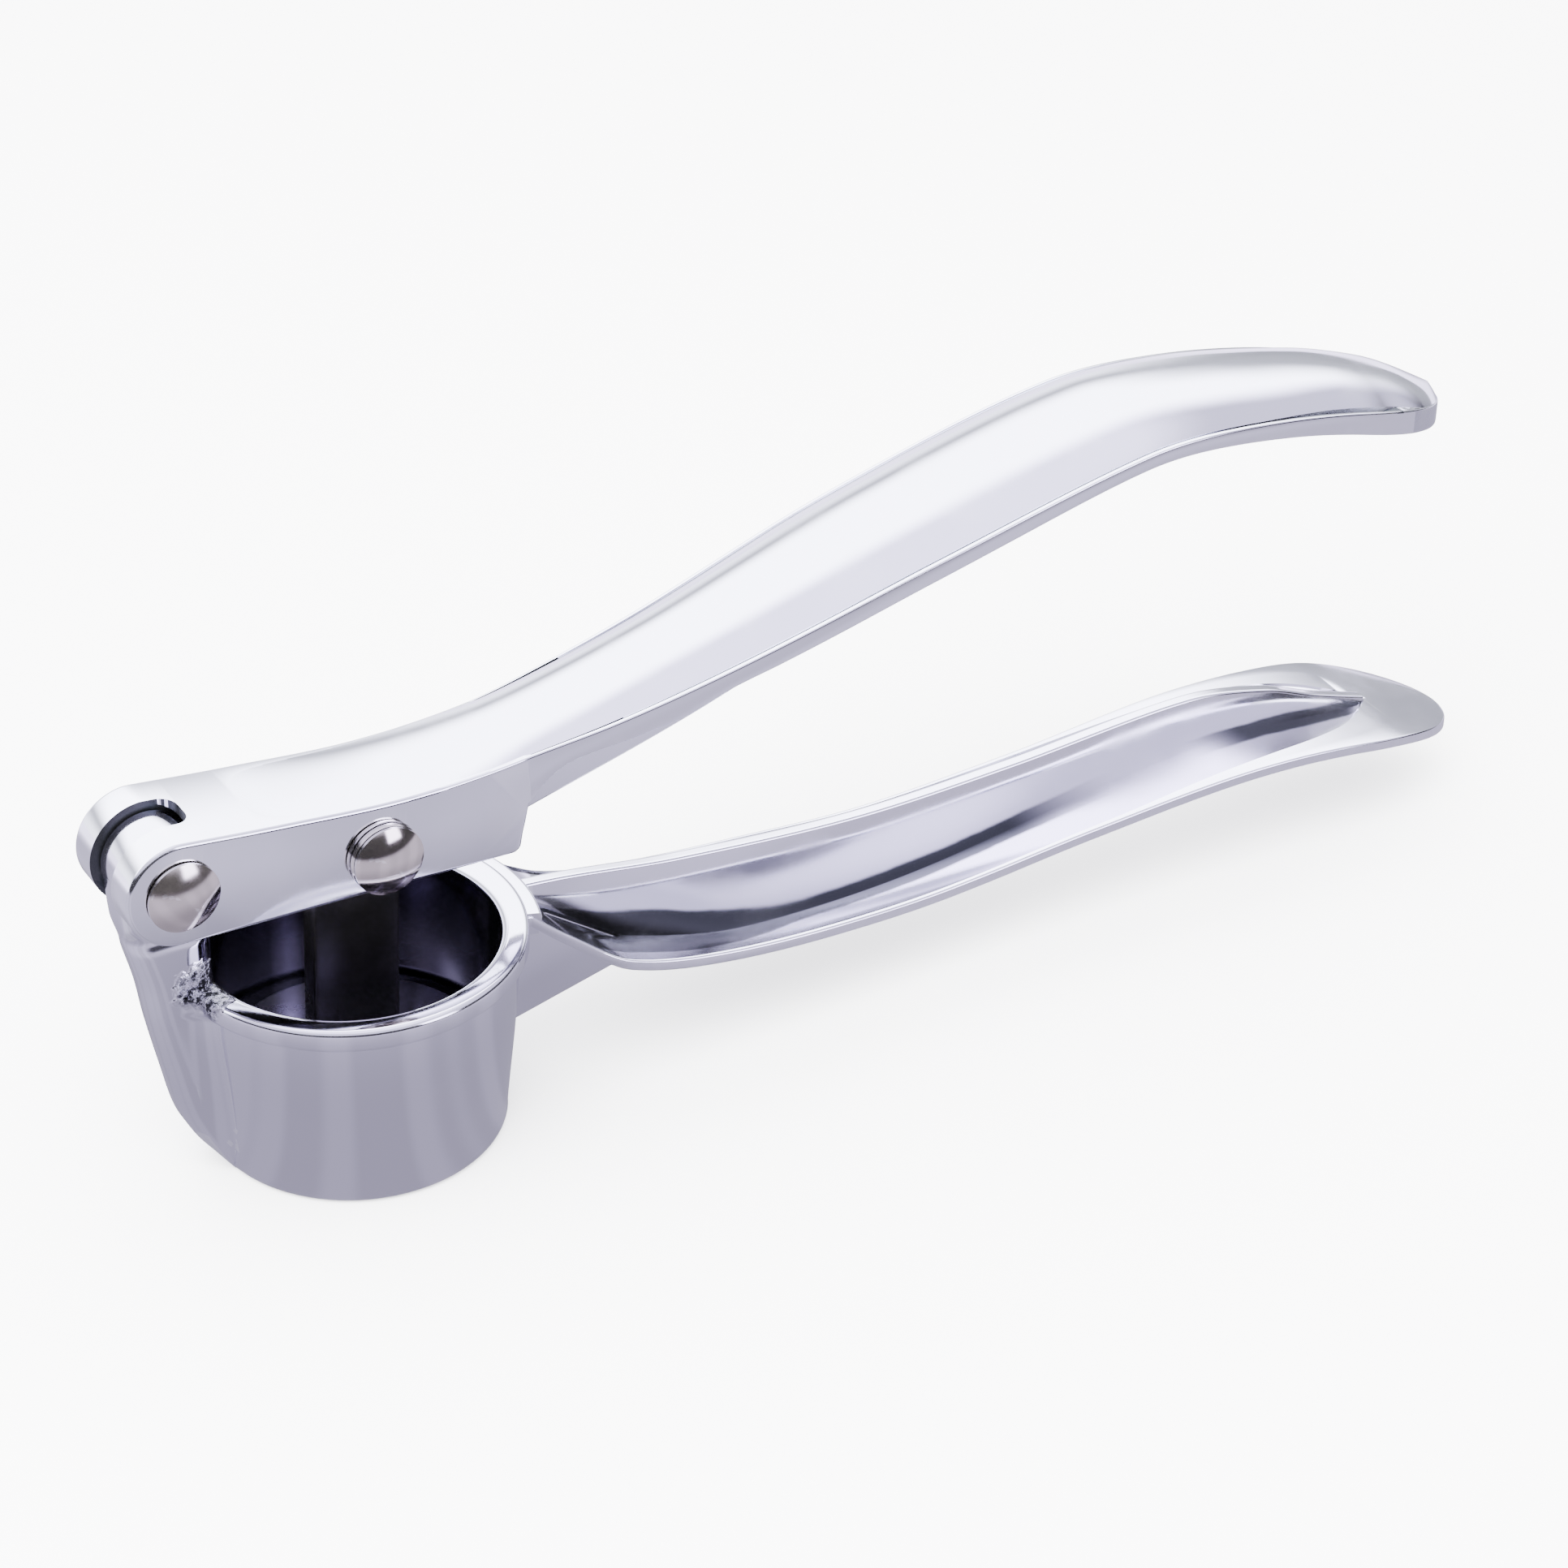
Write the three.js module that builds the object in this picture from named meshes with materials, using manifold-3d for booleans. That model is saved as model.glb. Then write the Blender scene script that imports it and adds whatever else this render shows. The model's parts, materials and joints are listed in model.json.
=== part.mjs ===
// A hinged garlic press: two polished die-castings, a swinging plunger, two cap rivets, two
// washers and a perforated disc in the bottom of the cup.
// Millimetres, +Z up. The origin is on the cup's axis, in the plane of its base.
// +X runs along the handles, and the whole press is symmetric about the XZ plane.

import * as THREE from "three";
import { mergeVertices } from "three/addons/utils/BufferGeometryUtils.js";
import Module from "manifold-3d";

const wasm = await Module();
wasm.setup();

// ---- Driving dimensions ----

// Cup
const CUP_HEIGHT = 25.4;
const RIM_RADIUS = 20;
const RIM_BAND = 2.5;
const BORE_RADIUS = 16.5;
const MOUTH_RADIUS = 16.9;
const WALL_TOP_RADIUS = 18.9;
const WALL_FOOT_RADIUS = 17.2;
const FOOT_ROUND = 1.2;
const EDGE_ROUND = 0.6;
const ROUND_SIDES = 64;

// Perforated disc: a flange that rests on a ledge in the foot of the cup, and a plug that fills
// the ledge down to the base plane
const SIEVE_TOP = 1.9;
const SIEVE_RADIUS = 16.2;
const SIEVE_FLANGE = 1;
const PLUG_RADIUS = 14.9;
const SIEVE_GAP = 0.2;
const HOLE_RADIUS = 0.85;
const HOLE_PITCH = 2.9;
const HOLE_SIDES = 8;

// Hinge
const HINGE = new THREE.Vector2(-22, 41.2);
const KNUCKLE_RADIUS = 5.3;
const KNUCKLE_CLEARANCE = 0.4;
const EAR_RADIUS = 6.3;
const HEAD_WIDTH = 14;
const SLOT_WIDTH = 5.64;
const LUG_WIDTH = 5.2;
const PILLAR_WIDTH = 6.2;

// Rivets
const RIVET_SIDES = 28;
const SLEEVE_RADIUS = 2.4;
const POST_RADIUS = 1.4;
const RIVET_FIT = 0.06;
const CAP_RADIUS = 4.1;
const CAP_HEIGHT = 1.1;
const CAP_EDGE = 0.35;
const HINGE_RIVET_STAND = 0.25;
const PLUNGER_RIVET_STAND = 1.05;
const WASHER_RADIUS = 4.15;
const WASHER_THICKNESS = 0.6;
const WASHER_GAP = 0.15;

// Plunger
const PIVOT = new THREE.Vector2(1.44, 38.5);
const PLUNGER_TILT = THREE.MathUtils.degToRad(-2.1);
const EYE_RADIUS = 3.9;
const STEM_WIDTH = 10.6;
const STEM_SHIFT = -0.6;
const WEB_THICKNESS = 2.8;
const DISC_RADIUS = 15.2;
const DISC_THICKNESS = 1.4;
const PLUNGER_LENGTH = 31.4;

// Handles: where they end, the ledge that runs round the foot of the lever's dome, and the ribs
const LEVER_END = 148.6;
const HANDLE_END = 155.3;
const LEDGE = 0.9;
const RIB_WIDTH = 2;
const GUSSET_WIDTH = 3;
const ALONG_STEPS = 36;
const ACROSS_STEPS = 10;

// ---- Lines that shape the handles, each as [x, value] ----

const LEVER_TOP = [
  [-22, 47.5], [-10, 46.1], [5, 44.8], [20, 45.5], [40, 49.2], [70, 57.4], [98, 63.5],
  [112, 63.5], [130, 60.6], [149, 54.9],
];
const LEVER_FLANGE_THICKNESS = [
  [17, 2.2], [50, 2.5], [80, 2.3], [100, 2], [120, 2.5], [138, 3.4], [149, 3.6],
];
const LEVER_CROWN = [
  [-14, 0], [10, 0.8], [40, 2.4], [75, 3.1], [120, 2.9], [134, 2.9], [142, 2.3], [149, 0.7],
];
const LEVER_WIDTH = [
  [-22, 14], [18, 13.9], [30, 16], [40, 17.6], [62, 21], [85, 22.2], [115, 21.6], [130, 20.6],
  [149, 18.6],
];
const LEVER_RIB = [
  [20, 33.8], [46, 41], [75, 51.6], [92, 56.2], [108, 57.4], [126, 57.2], [142, 56],
];
const HANDLE_RIM = [
  [19, 24.7], [23, 21.5], [30, 16.9], [42, 14.1], [60, 12.4], [74, 11.9], [95, 13], [120, 14.3],
  [140, 12.4], [155.5, 8],
];
const HANDLE_WIDTH = [
  [19, 14.6], [24, 18], [30, 21.4], [52, 22.6], [78, 20.6], [98, 19.9], [122, 21.2], [140, 22],
  [155.5, 21.6],
];
const POCKET_DEPTH = [
  [18, 0.2], [24, 0.8], [34, 2.1], [50, 4.1], [75, 3.1], [105, 1.1], [130, 0.8], [144, 0.5],
];
const POCKET_RIM = [
  [18, 0.4], [45, 0.5], [97, 0.8], [110, 1.5], [127, 3], [135, 5], [140, 7.8], [143.6, 10.6],
];
const HANDLE_RIB = [
  [19, 24.5], [27, 23.6], [42, 21.2], [66, 19], [88, 19.2], [115, 20.4], [127, 18.2], [135, 15.1],
  [143, 12.4],
];
const HANDLE_THICKNESS = 1.45;

// ---- Finishes ----

const finish = (color, roughness) => new THREE.MeshStandardMaterial({ color, roughness, metalness: 1 });
const CHROME = finish(0xc9c9d6, 0.12);
const DARK_CHROME = finish(0x3c3c44, 0.25);
const NICKEL = finish(0xb3aca9, 0.22);
const STEEL = finish(0xa9abb0, 0.3);

// ---- Solids ----

// A closed three.js geometry as a manifold-3d solid.
function solid(geometry) {
  geometry.deleteAttribute("normal");
  geometry.deleteAttribute("uv");
  const merged = mergeVertices(geometry, 1e-4);
  return new wasm.Manifold(
    new wasm.Mesh({
      numProp: 3,
      vertProperties: merged.attributes.position.array,
      triVerts: new Uint32Array(merged.index.array),
    }),
  );
}

function joined(solids) {
  return solids.reduce((whole, piece) => whole.add(piece));
}

// A named mesh of a finished solid.
function piece(name, body, material) {
  const { vertProperties, triVerts } = body.getMesh();
  const geometry = new THREE.BufferGeometry();
  geometry.setAttribute("position", new THREE.BufferAttribute(vertProperties, 3));
  geometry.setIndex(new THREE.BufferAttribute(triVerts, 1));
  geometry.computeVertexNormals();
  const mesh = new THREE.Mesh(geometry, material);
  mesh.name = name;
  return mesh;
}

// A side outline, drawn in X and Z, made into a plate centred on the plane of symmetry.
function plate(outline, width, curveSegments = 16) {
  const geometry = new THREE.ExtrudeGeometry(outline, {
    depth: width,
    bevelEnabled: false,
    curveSegments,
  });
  return solid(geometry.rotateX(Math.PI / 2).translate(0, width / 2, 0));
}

// A profile of [radius, height] points turned about the Z axis.
function turned(profile, sides = ROUND_SIDES) {
  const points = profile.map(([radius, height]) => new THREE.Vector2(radius, height));
  return solid(new THREE.LatheGeometry(points, sides).rotateX(Math.PI / 2));
}

// The quarter circle from one angle to another, as [radius, height] points.
function corner(radius, height, round, from, to, steps = 5) {
  return Array.from({ length: steps + 1 }, (_, i) => {
    const angle = THREE.MathUtils.degToRad(from + ((to - from) * i) / steps);
    return [radius + round * Math.cos(angle), height + round * Math.sin(angle)];
  });
}

// A cylinder across the press, centred on the plane of symmetry.
function crossPin(centre, radius, length, sides = RIVET_SIDES) {
  const geometry = new THREE.CylinderGeometry(radius, radius, length, sides);
  return solid(geometry.translate(centre.x, 0, centre.y));
}

// A smooth function of x through [x, value] points: cubic, with each slope taken from the
// neighbouring points.
function through(points) {
  const last = points.length - 1;
  const slopes = points.map((_, i) => {
    const before = points[Math.max(i - 1, 0)];
    const after = points[Math.min(i + 1, last)];
    return (after[1] - before[1]) / (after[0] - before[0]);
  });
  return (x) => {
    const i = Math.min(Math.max(points.findLastIndex((point) => point[0] <= x), 0), last - 1);
    const span = points[i + 1][0] - points[i][0];
    const t = THREE.MathUtils.clamp((x - points[i][0]) / span, 0, 1);
    const rise = t * t * (3 - 2 * t);
    return (
      points[i][1] * (1 - rise) +
      points[i + 1][1] * rise +
      span * (slopes[i] * t * (1 - t) ** 2 - slopes[i + 1] * t * t * (1 - t))
    );
  };
}

// Shrinks a width to nothing over the last stretch of a handle, as a rounded end.
function rounded(width, end, stretch, power) {
  return (x) => {
    const t = THREE.MathUtils.clamp((x - (end - stretch)) / stretch, 0, 1);
    return width(x) * Math.max(1 - t ** power, 1e-6) ** (1 / power);
  };
}

// A long bar whose width, top and underside are functions: top and underside take x and a
// share across, from -1 to 1.
function bar({ from, to, width, top, bottom, along = ALONG_STEPS, across = ACROSS_STEPS }) {
  const geometry = new THREE.BoxGeometry(1, 2, 2, along, across, 1);
  const position = geometry.attributes.position;
  for (let i = 0; i < position.count; i++) {
    const share = (1 - Math.cos((position.getX(i) + 0.5) * Math.PI)) / 2;
    const x = from + (to - from) * share;
    const t = Math.sin((position.getY(i) * Math.PI) / 2);
    const z = position.getZ(i) > 0 ? top(x, t) : bottom(x, t);
    position.setXYZ(i, x, (t * width(x)) / 2, z);
  }
  return solid(geometry);
}

// ---- Cup and lower handle ----

const handleRim = through(HANDLE_RIM);
const handleWidth = rounded(through(HANDLE_WIDTH), HANDLE_END, 19, 2.1);
const handleRib = through(HANDLE_RIB);
const pocketDepth = through(POCKET_DEPTH);
const pocketRim = through(POCKET_RIM);
const pocketFloor = (x, t) => handleRim(x) - pocketDepth(x) * (1 - Math.abs(t) ** 1.8);

function cupShell() {
  const outer = [
    [0, 0],
    ...corner(WALL_FOOT_RADIUS - FOOT_ROUND, FOOT_ROUND, FOOT_ROUND, -90, 0),
    [WALL_TOP_RADIUS, CUP_HEIGHT - RIM_BAND - EDGE_ROUND],
    ...corner(RIM_RADIUS - EDGE_ROUND, CUP_HEIGHT - RIM_BAND, EDGE_ROUND, -70, 0, 3),
    ...corner(RIM_RADIUS - EDGE_ROUND, CUP_HEIGHT - EDGE_ROUND, EDGE_ROUND, 0, 90, 4),
    [0, CUP_HEIGHT],
  ];
  return turned(outer);
}

function cupHollow() {
  const ledgeRadius = PLUG_RADIUS + SIEVE_GAP;
  const ledgeTop = SIEVE_TOP - SIEVE_FLANGE - SIEVE_GAP;
  return turned([
    [0, -1],
    [ledgeRadius, -1],
    [ledgeRadius, ledgeTop],
    [BORE_RADIUS, ledgeTop],
    [BORE_RADIUS, CUP_HEIGHT - 2],
    [MOUTH_RADIUS, CUP_HEIGHT - 0.6],
    [MOUTH_RADIUS + 0.4, CUP_HEIGHT + 1],
    [0, CUP_HEIGHT + 1],
  ]);
}

// The tapered pillar that carries the hinge, from the foot of the cup up to the knuckle.
function pillarOutline(inset) {
  const outline = new THREE.Shape();
  outline.moveTo(-10, 0.1);
  outline.lineTo(-15.6, 0.1);
  outline.quadraticCurveTo(-20.3 + inset, 1.6, -21.7 + inset, 7.6);
  outline.lineTo(HINGE.x - KNUCKLE_RADIUS + inset, HINGE.y - 2);
  outline.lineTo(HINGE.x, HINGE.y);
  outline.lineTo(-16.9, 34);
  outline.lineTo(-16.9, 20);
  outline.lineTo(-10, 20);
  outline.closePath();
  return outline;
}

function hingePillar() {
  const lug = plate(pillarOutline(0), LUG_WIDTH);
  const widePart = new THREE.Shape();
  widePart.moveTo(-30, -1);
  widePart.lineTo(-30, 28);
  widePart.lineTo(-16, 33);
  widePart.lineTo(-5, 33);
  widePart.lineTo(-5, -1);
  const wide = plate(pillarOutline(0.6), PILLAR_WIDTH).intersect(plate(widePart, PILLAR_WIDTH + 2));
  return joined([lug, wide, crossPin(HINGE, KNUCKLE_RADIUS, LUG_WIDTH, 48)]);
}

function lowerFlange() {
  return bar({
    from: 17.5,
    to: HANDLE_END,
    width: handleWidth,
    top: handleRim,
    bottom: (x, t) => handleRim(x) - HANDLE_THICKNESS - pocketDepth(x) * (1 - t * t),
  });
}

// The leaf-shaped pocket sunk into the upper side of the flange, either side of the rib.
function handlePocket() {
  return bar({
    from: 18,
    to: 143.5,
    width: (x) => Math.max(handleWidth(x) - 2 * pocketRim(x), 0.3),
    top: (x) => handleRim(x) + 2,
    bottom: pocketFloor,
  });
}

// The thin rib that stands up along the middle of the lower handle.
function lowerRib() {
  return bar({
    from: 18.5,
    to: 143,
    width: () => RIB_WIDTH,
    top: handleRib,
    bottom: (x) => pocketFloor(x, 0) - HANDLE_THICKNESS / 2,
    across: 1,
  });
}

function lowerGusset() {
  const outline = new THREE.Shape();
  outline.moveTo(17, 6.2);
  outline.lineTo(34, 10.1);
  outline.lineTo(42, 9.5);
  outline.lineTo(34, 13);
  outline.lineTo(24, 20.6);
  outline.lineTo(17, 24);
  outline.closePath();
  return plate(outline, GUSSET_WIDTH);
}

// The flat tongue that joins the rim to the start of the handle.
function neck() {
  const ring = turned([
    [17, CUP_HEIGHT - 3],
    [21.6, CUP_HEIGHT - 3],
    [21.6, CUP_HEIGHT - 0.7],
    [21, CUP_HEIGHT - 0.25],
    [17, CUP_HEIGHT - 0.25],
    [17, CUP_HEIGHT - 3],
  ]);
  const sector = solid(new THREE.BoxGeometry(14, 15, 8).translate(22, 0, CUP_HEIGHT - 2));
  return ring.intersect(sector);
}

function lowerCasting() {
  const flange = lowerFlange().subtract(handlePocket());
  const handle = joined([flange, lowerRib(), lowerGusset(), neck()]);
  return joined([cupShell(), hingePillar(), handle])
    .subtract(cupHollow())
    .subtract(crossPin(HINGE, SLEEVE_RADIUS + RIVET_FIT, HEAD_WIDTH));
}

// ---- Upper lever ----

const leverTop = through(LEVER_TOP);
const leverThickness = through(LEVER_FLANGE_THICKNESS);
const leverCrown = through(LEVER_CROWN);
const leverWidth = rounded(through(LEVER_WIDTH), LEVER_END, 18, 2.1);
const leverRib = through(LEVER_RIB);
const domeTop = (x, t) => leverTop(x) + leverCrown(x) * (1 - Math.abs(t) ** 2.4);
const domeWidth = (x) => leverWidth(x) - 2 * LEDGE * THREE.MathUtils.smoothstep(x, -14, 45);

// The side of the lever's head: round ears, a straight lower edge and the arch of the neck.
function headOutline() {
  const outline = new THREE.Shape();
  outline.moveTo(HINGE.x - 0.4, HINGE.y - EAR_RADIUS);
  outline.lineTo(16.9, 33.4);
  outline.quadraticCurveTo(18.2, 33.4, 18.5, 34.6);
  outline.lineTo(19.2, 38.2);
  outline.bezierCurveTo(19.8, 42, 22.4, 43.6, 27, 43.8);
  outline.lineTo(31, 44.6);
  outline.lineTo(31, leverTop(31) - 0.5);
  for (let x = 28; x > HINGE.x; x -= 5) outline.lineTo(x, leverTop(x) - 0.02);
  outline.lineTo(HINGE.x, HINGE.y + EAR_RADIUS);
  outline.absarc(HINGE.x, HINGE.y, EAR_RADIUS, Math.PI / 2, Math.PI * 1.5, false);
  return outline;
}

// The opening between the ears, and the slot under the head that the plunger swings in.
function headSlot() {
  const outline = new THREE.Shape();
  outline.moveTo(-32, 28);
  outline.lineTo(11.5, 28);
  outline.lineTo(11.5, 38);
  outline.quadraticCurveTo(11.5, 43, 6.5, 43);
  outline.lineTo(-14, 43.8);
  outline.lineTo(-18.6, 44.6);
  outline.lineTo(-18.6, 52);
  outline.lineTo(-32, 52);
  outline.closePath();
  const clearance = crossPin(HINGE, KNUCKLE_RADIUS + KNUCKLE_CLEARANCE, SLOT_WIDTH, 48);
  return plate(outline, SLOT_WIDTH).add(clearance);
}

function leverFlange() {
  return bar({
    from: 17,
    to: LEVER_END,
    width: leverWidth,
    top: (x) => leverTop(x),
    bottom: (x) => leverTop(x) - leverThickness(x),
    across: 2,
  });
}

// The convex palm side of the lever, a little narrower than its flange.
function leverDome() {
  return bar({
    from: -13.5,
    to: LEVER_END - 0.1,
    width: domeWidth,
    top: domeTop,
    bottom: (x) => leverTop(x) - 1,
  });
}

// The hollow under the palm side.
function leverHollow() {
  return bar({
    from: 25,
    to: 136,
    width: (x) => (domeWidth(x) - 4) * Math.max(1 - ((x - 80.5) / 55.6) ** 4, 1e-4) ** 0.5,
    top: (x, t) => leverTop(x) - 1 + (leverCrown(x) - 0.9) * (1 - t * t),
    bottom: (x) => leverTop(x) - 12,
    along: 30,
    across: 8,
  });
}

// The rib under the lever, which also ties the head to the neck.
function leverRibPlate() {
  return bar({
    from: 16,
    to: 140,
    width: () => RIB_WIDTH,
    top: (x) => leverTop(x) - 0.5,
    bottom: (x) => leverRib(x),
    across: 1,
  });
}

function upperLever() {
  const handle = leverFlange().add(leverDome()).subtract(leverHollow());
  return joined([handle, plate(headOutline(), HEAD_WIDTH), leverRibPlate()])
    .subtract(headSlot())
    .subtract(crossPin(HINGE, SLEEVE_RADIUS + RIVET_FIT, HEAD_WIDTH + 4))
    .subtract(crossPin(PIVOT, SLEEVE_RADIUS + RIVET_FIT, HEAD_WIDTH + 4));
}

// ---- Plunger ----

// Drawn hanging straight down from an eye at the origin: a thin web under a wider boss.
function plunger() {
  const left = STEM_SHIFT - STEM_WIDTH / 2;
  const right = STEM_SHIFT + STEM_WIDTH / 2;
  const stem = new THREE.Shape();
  stem.moveTo(EYE_RADIUS - 0.1, 0);
  stem.lineTo(right, -5);
  stem.lineTo(right, -PLUNGER_LENGTH + 1);
  stem.lineTo(left, -PLUNGER_LENGTH + 1);
  stem.lineTo(left, -5);
  stem.lineTo(-EYE_RADIUS + 0.1, 0);
  const disc = turned([
    [0, -PLUNGER_LENGTH],
    [DISC_RADIUS - 0.3, -PLUNGER_LENGTH],
    [DISC_RADIUS, -PLUNGER_LENGTH + 0.3],
    [DISC_RADIUS, -PLUNGER_LENGTH + DISC_THICKNESS - 0.3],
    [DISC_RADIUS - 0.3, -PLUNGER_LENGTH + DISC_THICKNESS],
    [0, -PLUNGER_LENGTH + DISC_THICKNESS],
  ]);
  const boss = crossPin(new THREE.Vector2(), EYE_RADIUS, LUG_WIDTH);
  const eye = crossPin(new THREE.Vector2(), SLEEVE_RADIUS + RIVET_FIT, HEAD_WIDTH);
  return joined([plate(stem, WEB_THICKNESS), boss, disc]).subtract(eye);
}

// ---- Perforated disc ----

// Hole centres on a triangular grid, kept clear of the edge and of the middle.
function holeCentres() {
  const centres = [];
  const rows = Math.ceil(SIEVE_RADIUS / HOLE_PITCH) + 1;
  for (let row = -rows; row <= rows; row++) {
    for (let column = -rows; column <= rows; column++) {
      const x = HOLE_PITCH * (column + (row % 2 ? 0.5 : 0));
      const y = HOLE_PITCH * row * Math.sin(Math.PI / 3);
      const distance = Math.hypot(x, y);
      if (distance > HOLE_PITCH / 2 && distance < PLUG_RADIUS - 1.4) centres.push([x, y]);
    }
  }
  return centres;
}

function perforatedDisc() {
  const outline = new THREE.Shape();
  outline.absarc(0, 0, PLUG_RADIUS, 0, Math.PI * 2, false);
  for (const [x, y] of holeCentres()) {
    const hole = new THREE.Path();
    for (let i = 0; i < HOLE_SIDES; i++) {
      const angle = (-i * 2 * Math.PI) / HOLE_SIDES;
      const point = [x + HOLE_RADIUS * Math.cos(angle), y + HOLE_RADIUS * Math.sin(angle)];
      if (i) hole.lineTo(...point);
      else hole.moveTo(...point);
    }
    hole.closePath();
    outline.holes.push(hole);
  }
  const plug = new THREE.ExtrudeGeometry(outline, {
    depth: SIEVE_TOP,
    bevelEnabled: false,
    curveSegments: ROUND_SIDES / 2,
  });
  const flange = turned([
    [PLUG_RADIUS - 0.3, SIEVE_TOP - SIEVE_FLANGE],
    [SIEVE_RADIUS, SIEVE_TOP - SIEVE_FLANGE],
    [SIEVE_RADIUS, SIEVE_TOP],
    [PLUG_RADIUS - 0.3, SIEVE_TOP],
    [PLUG_RADIUS - 0.3, SIEVE_TOP - SIEVE_FLANGE],
  ]);
  return solid(plug).add(flange);
}

// ---- Rivets ----

// The domed cap of a rivet, as [radius, height] points from its rim to its crown.
function capProfile(base) {
  const bulge = 6;
  const curve = (CAP_RADIUS ** 2 + CAP_HEIGHT ** 2) / (2 * CAP_HEIGHT);
  const reach = Math.asin(CAP_RADIUS / curve);
  return Array.from({ length: bulge + 1 }, (_, i) => {
    const angle = reach * (1 - i / bulge);
    const radius = i === bulge ? 0 : curve * Math.sin(angle);
    return [radius, base + CAP_EDGE + CAP_HEIGHT - curve * (1 - Math.cos(angle))];
  });
}

// The two halves of a cap rivet. Both are turned about Z with their cap on top, so the half
// whose cap shows on the -Y side is stood on that side, and the other half on the +Y side.
function rivetSleeve(stand) {
  const cap = HEAD_WIDTH / 2 + stand;
  const foot = -HEAD_WIDTH / 2 + 0.4;
  return turned(
    [
      [POST_RADIUS + RIVET_FIT, foot],
      [SLEEVE_RADIUS, foot],
      [SLEEVE_RADIUS, cap],
      [CAP_RADIUS, cap],
      ...capProfile(cap),
      [0, cap - 1],
      [POST_RADIUS + RIVET_FIT, cap - 1],
      [POST_RADIUS + RIVET_FIT, foot],
    ],
    RIVET_SIDES,
  );
}

function rivetPost(stand) {
  const cap = HEAD_WIDTH / 2 + stand;
  return turned(
    [
      [0, -HEAD_WIDTH / 2 + 1.2],
      [POST_RADIUS, -HEAD_WIDTH / 2 + 1.2],
      [POST_RADIUS, HEAD_WIDTH / 2 - 0.1],
      [SLEEVE_RADIUS, HEAD_WIDTH / 2 - 0.1],
      [SLEEVE_RADIUS, cap],
      [CAP_RADIUS, cap],
      ...capProfile(cap),
    ],
    RIVET_SIDES,
  );
}

function washer() {
  const foot = HEAD_WIDTH / 2 + WASHER_GAP;
  const bore = SLEEVE_RADIUS + RIVET_FIT;
  return turned(
    [
      [bore, foot],
      [WASHER_RADIUS, foot],
      [WASHER_RADIUS, foot + WASHER_THICKNESS],
      [bore, foot + WASHER_THICKNESS],
      [bore, foot],
    ],
    RIVET_SIDES,
  );
}

// ---- Assembly ----

// Stands a piece turned about Z on one side of the press: -1 for -Y, 1 for +Y.
function onSide(name, body, centre, side) {
  const mesh = piece(name, body, NICKEL);
  mesh.position.set(centre.x, 0, centre.y);
  mesh.rotation.x = (-side * Math.PI) / 2;
  return mesh;
}

function garlicPress() {
  const press = new THREE.Group();
  press.add(piece("cup_and_lower_handle", lowerCasting(), CHROME));
  press.add(piece("perforated_disc", perforatedDisc(), STEEL));
  press.add(piece("upper_lever", upperLever(), CHROME));

  const swinging = piece("plunger", plunger(), DARK_CHROME);
  swinging.position.set(PIVOT.x, 0, PIVOT.y);
  swinging.rotation.y = -PLUNGER_TILT;
  press.add(swinging);

  for (const [name, centre, stand] of [
    ["hinge_rivet", HINGE, HINGE_RIVET_STAND],
    ["plunger_rivet", PIVOT, PLUNGER_RIVET_STAND],
  ]) {
    press.add(onSide(`${name}_sleeve`, rivetSleeve(stand), centre, -1));
    press.add(onSide(`${name}_post`, rivetPost(stand), centre, 1));
  }
  press.add(onSide("washer_right", washer(), PIVOT, -1));
  press.add(onSide("washer_left", washer(), PIVOT, 1));
  return press;
}

export default garlicPress();
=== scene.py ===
"""A hinged garlic press in polished chrome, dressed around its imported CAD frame.

All sizes in this file are in millimetres and are turned to metres as each mesh is made. The origin
is on the cup's axis in the plane of its base, +X runs along the handles and +Z is up.
"""

import json
import logging
import math
from dataclasses import dataclass
from enum import Enum
from typing import Callable, Optional, Sequence

import bmesh
import bpy
import numpy as np
from mathutils import Matrix, Vector


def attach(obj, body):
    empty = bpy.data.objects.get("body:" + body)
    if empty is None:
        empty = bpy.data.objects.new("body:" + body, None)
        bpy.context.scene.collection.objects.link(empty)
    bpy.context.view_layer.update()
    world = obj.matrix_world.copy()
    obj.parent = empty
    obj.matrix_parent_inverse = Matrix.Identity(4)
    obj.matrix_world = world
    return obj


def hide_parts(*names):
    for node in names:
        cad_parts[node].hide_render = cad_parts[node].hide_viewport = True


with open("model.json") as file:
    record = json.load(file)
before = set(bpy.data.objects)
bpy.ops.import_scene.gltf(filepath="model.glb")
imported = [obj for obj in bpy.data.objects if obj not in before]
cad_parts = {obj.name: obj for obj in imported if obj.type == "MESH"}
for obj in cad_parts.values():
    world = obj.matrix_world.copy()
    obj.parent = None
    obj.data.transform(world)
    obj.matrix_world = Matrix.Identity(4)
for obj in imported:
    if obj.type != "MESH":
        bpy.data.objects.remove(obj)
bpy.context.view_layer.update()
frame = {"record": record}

MM = 0.001
LOG = logging.getLogger("garlic_press")

Curve = Callable[[np.ndarray], np.ndarray]
Points = Sequence[tuple[float, float]]
Half = list[tuple[np.ndarray, np.ndarray]]
Spot = tuple[float, float]
Spot3 = tuple[float, float, float]
Pick = Callable[[np.ndarray, np.ndarray], np.ndarray]
Piece = bpy.types.Object
Socket = bpy.types.NodeSocket
Materials = dict[str, bpy.types.Material]
Groups = dict[str, bpy.types.NodeTree]


class Body(Enum):
    """The rigid bodies of the press."""

    BASE = "base"
    LEVER = "lever"
    PLUNGER = "plunger"


class Side(Enum):
    """A side of the press, as the sign of its Y."""

    RIGHT = -1
    LEFT = 1


class Cut(Enum):
    """How one solid is combined with another."""

    JOIN = "UNION"
    REMOVE = "DIFFERENCE"


# ---- Curves ----


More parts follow.
